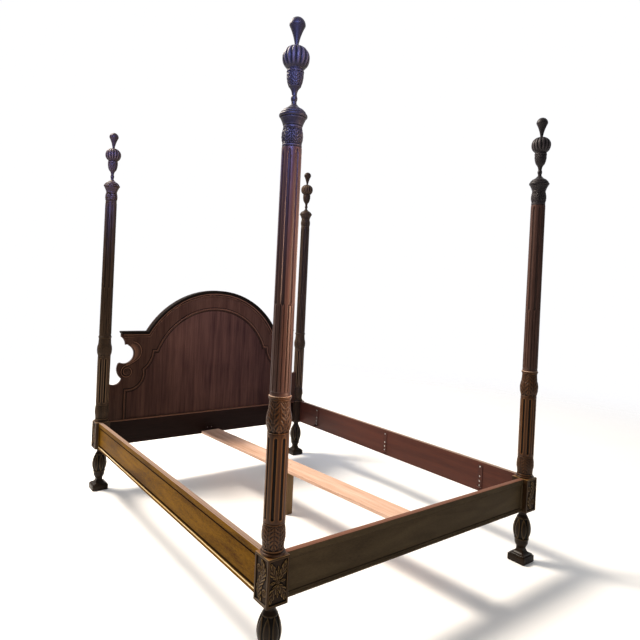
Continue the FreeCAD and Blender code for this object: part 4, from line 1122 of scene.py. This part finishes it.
@dataclass
class Headboard:
    """Arched headboard: border with scrolled ears, veneered panel, mouldings, rosettes and head rail."""

    front: float = 1029.0
    thickness: float = 24.0
    ease: float = 2.0
    panel_front: float = 1034.0
    panel_thickness: float = 12.0
    panel_ease: float = 0.5
    rail_top: float = 438.0
    post_edge: float = 750.0
    ear: Pair = (652.0, 1027.0)
    ear_depth: float = 100.0
    ear_lip: float = 30.0
    ear_flare: float = 26.0
    scroll: tuple[Triple, ...] = ((665, 708, .182), (689.1, 811.3, .184), (669.7, 813.1, -.46))
    scroll_foot: float = 686.0
    arch: Pair = (588.0, 1318.0)
    opening_arch: Pair = (465.0, 1190.0)
    opening_reach: float = 648.0
    opening_side: tuple[Triple, ...] = ((648, 639, 0), (615, 639, -.24), (530, 767, -.12))
    notch: Pair = (463.0, 896.0)
    eye: Pair = (633.0, 755.0)
    rosette: tuple[Triple, ...] = ((15, 0, 0), (15, 2.5, .2), (9, 6, -.1), (6, 5.6, .35), (.4, 8, 0))
    rosette_columns: int = 64
    ridge: tuple[Triple, ...] = ((598, 955, .325), (565, 837, .046), (637, 797, 0))
    coil_end: float = 19.5
    scoop: Pair = (650.6, 872.0)
    scoop_radius: float = 61.9
    band_margin: float = 5.0
    bead_width: float = 18.0
    bead_rise: float = 6.0
    crown: Pair = (44.0, 34.0)

    def side_points(self) -> list[Triple]:
        """Give the right half of the border's outline from the rail to the arch.

        Returns:
            (x, z, bow) points in mm.
        """
        reach, top = self.ear
        low = top - self.ear_depth
        tip = reach + self.ear_flare
        points = [(self.post_edge, self.rail_top, 0), (self.post_edge, self.scroll_foot, -.3), *self.scroll]
        points += [(reach - self.ear_lip, low, -.2), (reach - 4, low + 8, -.12), (tip, top - 38, 0)]
        return points + [(tip, top - 6, 0), (reach, top - 6, 0), (reach, top, 0)]

    @staticmethod
    def arch_line(arch: Pair, level: float) -> Array:
        """Follow an arch from right to left.

        Args:
            arch: its radius and the height of its top.
            level: height of its two ends.
        Returns:
            (x, z) points, a row each.
        """
        radius, top = arch
        rise = level - top + radius
        half = math.atan2(math.sqrt(radius ** 2 - rise ** 2), rise)
        turn = np.linspace(half, -half, 121)
        return np.stack((radius * np.sin(turn), top - radius + radius * np.cos(turn)), axis=1)

    def mirrored(self, points: Sequence[Triple], arch: Pair, level: float) -> Array:
        """Close a half outline over an arch with its mirror image."""
        right = bowed(points, step=3)
        return np.concatenate((right, self.arch_line(arch, level), (right * (-1, 1))[::-1]))

    @staticmethod
    def keep_trim(shape: Shape, name: str, grain: Grain, *nodes: str) -> None:
        """Make a trim of the border's wood and keep it on the bed frame."""
        keep(shape.made(name, [BORDER.material(grain)]), "bed_frame", "dark_wood", *nodes)

    def build(self) -> None:
        """Make the pieces of the headboard."""
        outer = self.mirrored(self.side_points(), self.arch, self.ear[1])
        points = [(self.opening_reach, self.rail_top, 0), *self.opening_side, (*self.notch, 0)]
        opening = self.mirrored(points, self.opening_arch, self.notch[1])
        board = plate("headboard_border_board", [outer, opening], self.front, self.thickness, self.ease,
                      [BORDER.material(Grain.Z)])
        keep(board, "bed_frame", "dark_wood", "headboard_border")
        panel = plate("headboard_veneer", [opening], self.panel_front, self.panel_thickness, self.panel_ease,
                      [VENEER.material(Grain.Z)])
        keep(panel, "bed_frame", "veneer", "headboard_panel")
        self.make_bead(opening)
        self.make_crown()
        self.make_rosettes()
        self.make_ridge()
        self.make_rail()

    def make_bead(self, opening: Array) -> None:
        """Run the moulded bead round the opening.

        Args:
            opening: (x, z) points of the opening in mm.
        """
        width = self.bead_width
        face = self.panel_front - self.front
        rise = self.bead_rise + face
        edge = [(.2, .2), (-4.5, face - 1), (-4.5, face + .3), (.2, face + .3), (1, rise - 5.2)]
        bead = round_points((6, rise - 5), 5, np.linspace(np.pi, 0, 9))
        hollow = bowed([(11.5, rise - 5, 0), (12.5, rise - 6, .22), (width, 2, 0)], step=1)
        fillet = [(width, .4), (width + 5, .4), (width + 5, .1)]
        profile = np.concatenate((edge, bead, hollow, fillet))
        # Painted shade along both edges of the bead, at the start of its hollow and on the fillet, with a
        # painted highlight on the bead itself
        tone = profile_tone(profile)
        first = len(edge)
        last = first + len(bead)
        tone[first:last] = .28
        for dark in (slice(1, first), slice(last, last + 2), slice(-len(fillet), None)):
            tone[dark] = -1
        shape = Shape()
        shape.tube(along_line(opening, profile, self.panel_front), tone)
        self.keep_trim(shape, "headboard_bead_moulding", Grain.Z, "headboard_bead")

    def make_crown(self) -> None:
        """Run the crown moulding over the ears and the arch, returned at both ear ends."""
        height, reach = self.crown
        back = 1 - self.thickness
        lip = [(0, back), (0, reach - 1), (1, reach), (7, reach), (8, reach - 1)]
        cyma = bowed([(8, reach - 2, -.2), (17, 21, .2), (30, 12, 0)], step=1.2)
        bead = round_points((38.5, 5), 4, np.linspace(np.pi, 0, 7))
        seat = [(height - .5, 0), (height - .5, -2), (9, -2), (9, back)]
        profile = np.concatenate((lip, cyma, [(31, 8), (34, 7)], bead, seat))
        ear, top = self.ear
        arch = self.arch_line(self.arch, top)
        right = resampled(np.array([(ear - 4, top), arch[0]]), step=30)[:-1]
        left = resampled(np.array([arch[-1], (4 - ear, top)]), step=30)[1:]
        line = np.concatenate(([(ear, top)], right, arch, left, [(-ear, top)]))
        points = along_line(line, profile, self.front)
        for row, sign in ((0, 1), (-1, -1)):
            points[row, :, 0] += sign * np.maximum(profile[:, 1], 0)
        ends = points[[0, -1]].copy()
        ends[:, :, 1] = self.front - back
        points = np.concatenate((ends[:1], points, ends[1:]))
        # Painted shade under the lip, a painted highlight on the cyma, painted shade in the quirk above the
        # bead
        place = profile[:, 0]
        bands = [place < 21, (place > 21) & (place < 29), (place > 29) & (place < 35)]
        shape = Shape()
        shape.tube(points, np.select(bands, (-.7, .4, -1), profile_tone(profile)))
        self.keep_trim(shape, "headboard_crown_moulding", Grain.X, "headboard_crown")

    def make_rosettes(self) -> None:
        """Make the petalled button in the eye of each scroll."""

        def petals(place: Turning) -> Array:
            """Cut petals round the button."""
            lobes = 1 - np.abs(np.cos(4 * place.angle)) ** .6
            return -1.3 * lobes * ((place.radius > 6.5) & (place.height > 1))

        profile = resampled(bowed(self.rosette, step=1), step=.8)
        points, tone = carved_rows(profile, self.rosette_columns, petals)
        x, y, z = np.moveaxis(points, -1, 0)
        shape = Shape()
        for sign in (-1, 1):
            button = (sign * (self.eye[0] + x), self.front + .2 - z, self.eye[1] + y)
            shape.tube(np.stack(button, axis=-1), tone)
        self.keep_trim(shape, "scroll_rosette_pair", Grain.Z, "scroll_rosettes")

    def make_ridge(self) -> None:
        """Run the raised ridge along the ear and the scoop and wind it into the eye."""
        run = bowed(self.ridge)
        start = run[-1] - self.eye
        angle = math.atan2(start[1], start[0]) - np.linspace(0, 2.9 * np.pi, 90)[1:]
        radius = np.linspace(math.hypot(*start), self.coil_end, 89)
        coil = round_points(self.eye, radius, angle)
        bend = np.linspace(0, np.pi, 9)
        ridge = np.column_stack((-3.6 * np.cos(bend), 4.2 * np.sin(bend) - .3))
        fillets = [(-7.4, -.3), (-7.4, .3), (-4, .3)], [(4, .3), (7.4, .3), (7.4, -.3)]
        profile = np.concatenate((fillets[0], ridge, fillets[1]))
        # Painted shade in the fillets beside the ridge, with a painted highlight along its crown
        tone = np.array([-1, -1, -1, -1, .1, .4, .6, .7, .6, .4, .1, -1, -1, -1, -1])
        shape = Shape()
        for sign in (-1, 1):
            line = np.concatenate((run, coil)) * (sign, 1)
            shape.tube(along_line(line, profile, self.front), tone)
            self.add_band(shape, run, sign)
        self.keep_trim(shape, "scroll_ridge_pair", Grain.Z)

    def add_band(self, shape: Shape, run: Array, sign: int) -> None:
        """Add the hollow band between the ridge and the edge of the scoop.

        Args:
            shape: shape that takes the faces.
            run: (x, z) points of the ridge in mm, right half.
            sign: side of the headboard.
        """
        away = run - self.scoop
        away /= np.linalg.norm(away, axis=1, keepdims=True)
        rim = self.scoop + away * (self.scoop_radius + self.band_margin)
        # Share of the way from the ridge to the rim, rise in mm and tone of each line of the band; the tone
        # paints shade by the ridge and a highlight towards the rim
        lines = ((0, -.3, -1), (.15, .6, -.2), (.5, .5, .35), (.8, 1.6, .55), (.92, 2.2, .7), (1, -.3, 0))
        share, rise, tone = np.array(lines).T
        spots = run[:, None, :] + share[None, :, None] * (rim - run)[:, None, :]
        level = np.broadcast_to(self.front - rise, spots.shape[:2])
        shape.tube(np.stack((sign * spots[..., 0], level, spots[..., 1]), axis=-1), tone)

    def make_rail(self) -> None:
        """Make the head rail and the half-round moulding along its top."""
        low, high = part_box("head_rail")
        # The head rail board takes the stain darkened as painted shade
        board = eased_box("head_rail_board", low, high, self.ease, [HEAD_RAIL_SHADED.material(Grain.X)])
        keep(board, "bed_frame", "dark_wood", "head_rail")
        low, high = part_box("head_rail_moulding")
        strip = moulded("head_rail_strip", low, high, Grain.X, -1, Strip.ROUND, [BORDER.material(Grain.X)])
        keep(strip, "bed_frame", "dark_wood", "head_rail_moulding")


def eased_box(
    name: str, low: Vector, high: Vector, ease: float, materials: Materials,
    inner: Vector | None = None, worn_and_highlit: float = 0.0
) -> bpy.types.Object:
    """Make a board with rounded arrises.

    Args:
        name: name of the piece.
        low: lowest corner in metres.
        high: highest corner in metres.
        ease: radius of the arrises in mm.
        materials: materials; the second goes on the faces that look along inner.
        inner: direction of the faces that take the second material.
        worn_and_highlit: how far the top takes the wear-and-highlight colour, a painted highlight that is
            partly wear, up to 1.
    Returns:
        The object.
    """
    mesh = bpy.data.meshes.new(name)
    work = bmesh.new()
    bmesh.ops.create_cube(work, size=1)
    for point in work.verts:
        point.co = Vector([(a + b) / 2 + c * (b - a) for a, b, c in zip(low, high, point.co)])
    bmesh.ops.bevel(work, geom=work.edges[:], offset=ease * MM, segments=3, profile=.6, affect="EDGES")
    for face in work.faces:
        face.material_index = int(inner is not None and face.normal.dot(inner) > .7)
    # The top takes the wear-and-highlight colour: a painted highlight that is partly wear
    relief = work.verts.layers.float.new("relief")
    for point in work.verts:
        point[relief] = worn_and_highlit * (point.co.z > high.z - 0.1 * MM)
    work.to_mesh(mesh)
    work.free()
    smoothed(mesh, materials, SHARP_EASED)
    return linked(name, mesh)


def moulded(
    name: str, low: Vector, high: Vector, run: Grain, out: int, kind: Strip, materials: Materials,
    line: float = 1.0
) -> bpy.types.Object:
    """Run a small moulding profile between two corners of a strip.

    Args:
        name: name of the piece.
        low: lowest corner in metres.
        high: highest corner in metres.
        run: axis that it runs along.
        out: sign of the direction in which it stands out.
        kind: kind of strip.
        materials: its materials; the last goes on the edge of a lower strip, where on the side rails it is a
            painted highlight.
        line: how dark and wide the painted shade lies beside an ogee, up to 1.
    Returns:
        The object.
    """
    along = run.value
    away = 1 - along
    deep = (high[away] - low[away]) / MM
    tall = (high[2] - low[2]) / MM
    if kind is Strip.ROUND:
        profile = bowed([(0, 0, 0), (deep * .35, 0, .36), (deep * .35, tall, 0), (0, tall, 0)], step=.7)
        profile[:, 0] = np.minimum(profile[:, 0], deep)
        tone = np.full(len(profile), .5)
    else:
        size = min(deep, 6.0)
        # The first points stand a thin flap on the face beside the ogee; with the tone below it is a dark
        # sheet of painted shade where the strip meets the field
        profile = bowed([
            (0, -8 * line, 0), (.25, -8 * line, 0), (.25, 0, 0), (size * .25, 0, .25), (size * .55, 3.2, 0),
            (size * .62, 3.4, -.25), (size, 8.5, 0), (size, tall - 2, .25), (size - 2, tall, 0),
            (0, tall, 0),
        ], step=.8)
        tone = np.where(profile[:, 1] < .1, -line, 0)
    level = profile[:, 1].copy()
    edge = np.zeros(len(profile), int)
    # A cap strip's top takes the wear-and-highlight colour: a painted highlight that is partly wear
    if kind is Strip.CAP:
        tone = np.where(level > tall - .8, 1, tone)
    # The upper edge of a base strip takes the last material, a painted highlight on the side rails
    if kind is Strip.BASE:
        edge[(level > 3) & (level < 7)] = len(materials) - 1
        profile[:, 1] = tall - level
    base = (low[away] if out > 0 else high[away]) / MM
    sections = np.empty((2, len(profile), 3))
    for section, end in zip(sections, (low[along], high[along])):
        section[:, along] = end / MM
        section[:, away] = base + out * profile[:, 0]
        section[:, 2] = low[2] / MM + profile[:, 1]
    shape = Shape()
    shape.tube(sections, tone, edge)
    return shape.made(name, materials, SHARP_MOULDED)


@dataclass
class Rail:
    """A side or foot rail: board, moulded strips round its sunk field and end strips, a piece per node."""

    prefix: str
    suffix: str
    body: str
    run: Grain
    out: int
    finish: WoodFinish = RAIL
    # The edge finish paints a highlight along the upper edge of the lower strip
    edge: WoodFinish = EDGE_HIGHLIGHT
    # line sets how dark and wide the painted shade beside the ogees lies
    line: float = 1.0
    clear: float = 0.65
    ease: float = 1.6
    end_ease: float = 1.5
    end_width: float = 14.0

    def build(self) -> None:
        """Make the board and its strips."""
        axis = self.run.value
        wood, edge, back = (finish.material(self.run) for finish in (self.finish, self.edge, RAIL_BACK))
        inner = Vector((0, 0, 0))
        inner[1 - axis] = -self.out
        node = self.prefix + self.suffix
        low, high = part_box(node)
        low[axis] += self.clear * MM
        high[axis] -= self.clear * MM
        # The board's top takes the wear-and-highlight colour in full: a painted highlight that is partly
        # wear
        board = eased_box(node + "_board", low, high, self.ease, [wood, back], inner, worn_and_highlit=1.0)
        keep(board, self.body, "rail_wood", node)
        for part, kind in (("_cap", Strip.CAP), ("_bead", Strip.BASE)):
            node = self.prefix + part + self.suffix
            low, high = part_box(node)
            strip = moulded(node + "_strip", low, high, self.run, self.out, kind, [wood, edge], self.line)
            keep(strip, self.body, "rail_wood", node)
        node = self.prefix + "_ends" + self.suffix
        low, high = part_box(node)
        near_end, far_start = high.copy(), low.copy()
        near_end[axis] = low[axis] + self.end_width * MM
        far_start[axis] = high[axis] - self.end_width * MM
        # The first of the two end strips stands for the node of both
        for name, first, last, nodes in (("_near", low, near_end, [node]), ("_far", far_start, high, [])):
            strip = eased_box(node + name, first, last, self.end_ease, [self.finish.material(Grain.Z)])
            keep(strip, self.body, "rail_wood", *nodes)


@dataclass
class Hardware:
    """Fittings: bent brackets for the box spring, and the finish of those that keep their CAD shape."""

    plate: float = 3.0
    bend: float = 4.0
    stations: tuple[float, ...] = (-765.0, 0.0, 765.0)
    width: float = 32.0
    height: float = 128.0
    lip: float = 30.0
    seat: float = 296.0
    rail_face: float = 782.5
    head: float = 4.0
    head_columns: int = 32
    screw_shares: tuple[float, ...] = (0.10, 0.29, 0.50, 0.93)

    def build(self, nodes: dict[str, bpy.types.Object]) -> None:
        """Make the brackets and dress the rest.

        Args:
            nodes: objects of the frame by the name of their node.
        """
        bracket = self.bracket_sections()
        head = self.screw_head()
        bottom = self.seat - self.plate
        for side in Side:
            label, sign = side.value
            brackets, screws = Shape(), Shape()
            for station in self.stations:
                brackets.tube(bracket * (sign, 1, 1) + (0, station, 0))
                for share in self.screw_shares:
                    screws.tube(head * (sign, 1, 1) + (0, station, bottom + share * self.height))
            paint = BROWN_PAINT.material(Grain.Z)
            bent = brackets.made("spring_brackets_%s_bent" % label, [paint], SHARP_MOULDED)
            keep(bent, "side_rail_" + label, "steel", "spring_brackets_" + label)
            crossed = screws.made("bracket_screws_%s_crossed" % label, [ZINC.material()])
            keep(crossed, "side_rail_" + label, "steel", "bracket_screws_" + label)
        names = ["foot_studs", "rail_receiver_plates"]
        names += ["receiver_screws", "end_bracket_screws", "centre_leg_screws"]
        names += ["finial_pin_" + corner.value[0] for corner in Corner]
        names += [name + side.value[0] for side in Side for name in ("rail_hooks_", "hook_screws_")]
        finishes = dict.fromkeys(names, STEEL.material())
        # The end brackets take a near-black painted shade
        finishes["board_end_brackets"] = PAINTED_SHADE_BRACKETS.material(Grain.X)
        finishes["post_dowels"] = DOWEL.material(Grain.Z)
        for name, material in finishes.items():
            slots = nodes[name].data.materials
            slots.clear()
            slots.append(material)

    def bracket_sections(self) -> Array:
        """Bend one bracket from a steel strip.

        Returns:
            Its two end sections in mm, on the right side at station 0.
        """
        bottom = self.seat - self.plate
        top = bottom + self.height
        face = self.rail_face
        lip = face - self.lip
        turns = np.linspace(-np.pi / 2, 0, 6)
        reach = self.bend + self.plate
        middle = (face - reach, bottom + reach)
        outer, inner = (round_points(middle, radius, turns) for radius in (reach, self.bend))
        start = [(lip, bottom + .4), (lip + .4, bottom)]
        upper_end = [(face, top - .5), (face - .5, top), (face - self.plate, top)]
        profile = np.concatenate((start, outer, upper_end, inner[::-1], [(lip, bottom + self.plate)]))
        return np.array([
            np.column_stack((profile[:, 0], np.full(len(profile), place), profile[:, 1]))
            for place in (-self.width / 2, self.width / 2)
        ])

    def screw_head(self) -> Array:
        """Turn the domed head of a screw and cut its cross recess.

        Returns:
            Points in mm, rows by columns by 3, on the right side at station 0 and height 0.
        """

        def recess(place: Turning) -> Array:
            """Cut the cross recess."""
            near = np.minimum(np.abs(np.sin(place.angle)), np.abs(np.cos(place.angle))) * place.radius
            return -.8 * (near < .55) * (place.radius < 2.3)

        dome = bowed([(self.head, -.8, 0), (self.head, .2, .22), (.1, 1.5, 0)], step=.5)
        points, _ = carved_rows(resampled(dome, step=.35), self.head_columns, recess)
        x, y, z = np.moveaxis(points, -1, 0)
        return np.stack((self.rail_face - self.plate - z, x, y), axis=-1)


@dataclass
class CentreBoard:
    """Loose pine board with its dark leg, laid askew."""

    offset: Pair = (64.0, -5.0)
    skew: float = 4.1
    length: float = 2043.0
    width: float = 140.0
    top: float = 296.0
    thickness: float = 18.0
    ease: float = 1.2
    leg: float = 45.0
    leg_station: float = 85.0
    leg_ease: float = 2.0

    def build(self) -> None:
        """Make the board and the leg and turn them to their place."""
        turn = Matrix.Translation((self.offset[0] * MM, self.offset[1] * MM, 0))
        turn = turn @ Matrix.Rotation(math.radians(self.skew), 4, "Z")
        under = self.top - self.thickness
        low = Vector((-self.width / 2, -self.length / 2, under)) * MM
        high = Vector((self.width / 2, self.length / 2, self.top)) * MM
        board = eased_box("pine_board", low, high, self.ease, [PINE.material(Grain.Y)])
        low = Vector((-self.leg / 2, self.leg_station - self.leg / 2, 0)) * MM
        high = Vector((self.leg / 2, self.leg_station + self.leg / 2, under)) * MM
        leg = eased_box("pine_board_leg", low, high, self.leg_ease, [LEG.material(Grain.Z)])
        for piece, slot, node in ((board, "pine", "centre_board"), (leg, "leg_wood", "centre_leg")):
            piece.matrix_world = turn
            keep(piece, "centre_board", slot, node)


@dataclass(frozen=True)
class Lamp:
    """A soft square light that looks at a point: metres, watts and degrees."""

    name: str
    spot: Triple
    aim: Triple
    size: float
    power: float
    colour: str
    spread: float = 180.0

    def build(self) -> None:
        """Make the light and turn it to its aim."""
        light = bpy.data.lights.new(self.name, "AREA")
        light.size = self.size
        light.energy = self.power
        light.color = linear(self.colour)[:3]
        light.spread = math.radians(self.spread)
        holder = linked(self.name, light)
        holder.location = self.spot
        holder.rotation_euler = (Vector(self.aim) - Vector(self.spot)).to_track_quat("-Z", "Y").to_euler()


@dataclass
class Stage:
    """Pale floor, soft studio light and the camera of the photograph."""

    eye: Triple = (-1.8514, -2.6455, 1.3784)
    azimuth: float = 37.373
    pitch: float = -0.386
    roll: float = 2.733
    sensor: float = 36.0
    lens: float = 30.887
    shift: float = -0.0451
    floor_half: float = 8.0
    floor_fade: Pair = (2.2, 7.0)
    cloud_scale: float = 1.2
    wall_way: Triple = (0.607, 0.795, 0.15)
    wall_edge: Pair = (0.1, 0.74)
    wall_strength: Pair = (0.24, 1.02)
    lamps: tuple[Lamp, ...] = (
        Lamp("key_back_left", (-2.4, 3.5, 6.4), (0, 0, .3), 2.0, 950, "#fff2e2"),
        Lamp("soft_overhead", (0, 0, 6.5), (0, 0, 0), 7.0, 45, "#ffffff"),
        Lamp("cool_near_top", (-1.9, -2.4, 2.6), (-.78, -1.04, 2.15), 0.6, 7, "#8c9cff", 40),
        Lamp("cool_far_top", (-2.6, -1.6, 2.9), (-.78, 1.04, 2.2), 0.5, 8, "#8090ff", 20),
        Lamp("soft_headboard", (-.6, -2.6, 3.4), (.05, 1.03, 1.05), 0.8, 2.3, "#fff0ea", 18),
        Lamp("warm_near_post", (1.2, -3.6, 1.6), (-.78, -1.04, 1.35), 0.9, 8, "#ffd4b4", 26),
    )

    def build(self) -> None:
        """Make the floor, the lights and the camera."""
        self.make_floor()
        for lamp in self.lamps:
            lamp.build()
        self.make_world()
        bpy.context.scene.view_settings.view_transform = "Standard"
        self.make_camera()

    def make_world(self) -> None:
        """Make a studio whose white wall stands behind the bed and whose other walls are dim."""
        world = bpy.data.worlds.new("pale_studio")
        world.use_nodes = True
        tree = world.node_tree
        tree.nodes.clear()
        way = add(tree, "TexCoord").outputs["Generated"]
        facing = add(tree, "VectorMath", {0: way, 1: self.wall_way}, operation="DOT_PRODUCT").outputs[1]
        ends = dict(enumerate((facing, *self.wall_edge, *self.wall_strength)))
        strength = add(tree, "MapRange", ends, interpolation_type="SMOOTHSTEP").outputs[0]
        wall = add(tree, "Background", {"Color": linear("#fdfdff"), "Strength": strength})
        add(tree, "OutputWorld", {"Surface": wall.outputs[0]})
        bpy.context.scene.world = world

    def make_floor(self) -> None:
        """Make the plain pale floor, which fades out far from the bed."""
        material, tree = blank_material("pale_studio_floor")
        place = add(tree, "TexCoord").outputs["Object"]
        cloud = add(tree, "TexNoise", {"Vector": place, "Scale": self.cloud_scale, "Detail": 3.0}).outputs[0]
        colour = add(tree, "Mix", {0: cloud, 6: linear("#f6f6f5"), 7: linear("#fcfcfb")},
                     data_type="RGBA").outputs[2]
        reach = add(tree, "VectorMath", {0: place}, operation="LENGTH").outputs[1]
        ends = dict(enumerate((reach, *self.floor_fade, 1.0, 0.0)))
        shown = add(tree, "MapRange", ends, interpolation_type="SMOOTHSTEP").outputs[0]
        shader = add(tree, "BsdfPrincipled", {"Base Color": colour, "Roughness": .9, "Alpha": shown})
        add(tree, "OutputMaterial", {"Surface": shader.outputs[0]})
        mesh = bpy.data.meshes.new("studio_floor")
        half = self.floor_half
        corners = [(-half, -half, 0), (half, -half, 0), (half, half, 0), (-half, half, 0)]
        mesh.from_pydata(corners, [], [(0, 1, 2, 3)])
        mesh.materials.append(material)
        linked("studio_floor", mesh)

    def make_camera(self) -> None:
        """Make the camera at the photograph's place and tilt."""
        turn, tip, roll = (math.radians(amount) for amount in (self.azimuth, self.pitch, self.roll))
        ahead = Vector((math.sin(turn) * math.cos(tip), math.cos(turn) * math.cos(tip), math.sin(tip)))
        right = Vector((math.cos(turn), -math.sin(turn), 0))
        above = right.cross(ahead)
        x = right * math.cos(roll) + above * math.sin(roll)
        y = above * math.cos(roll) - right * math.sin(roll)
        camera = bpy.data.cameras.new("photo_camera")
        camera.sensor_width = self.sensor
        camera.lens = self.lens
        camera.shift_y = self.shift
        holder = linked("photo_camera", camera)
        holder.matrix_world = Matrix.Translation(self.eye) @ Matrix((x, y, -ahead)).transposed().to_4x4()
        bpy.context.scene.camera = holder


def main(nodes: dict[str, bpy.types.Object]) -> None:
    """Build the pieces in order.

    Args:
        nodes: objects of the frame by the name of their node.
    """
    logging.basicConfig(level=logging.INFO, format="%(message)s")
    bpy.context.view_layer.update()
    CarvedPost().build()
    Headboard().build()
    for side in Side:
        label, sign = side.value
        Rail("side_rail", "_" + label, "side_rail_" + label, Grain.Y, sign).build()
    # The foot rail takes the rail stain darkened as painted shade, also on its lower strip's edge, and less
    # painted shade beside its ogees
    Rail("foot_rail", "", "bed_frame", Grain.X, -1, RAIL_SHADED, RAIL_SHADED, .3).build()
    Hardware().build(nodes)
    CentreBoard().build()
    Stage().build()
    bpy.context.view_layer.update()


if __name__ == "__main__":
    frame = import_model()
    main(frame["nodes"])
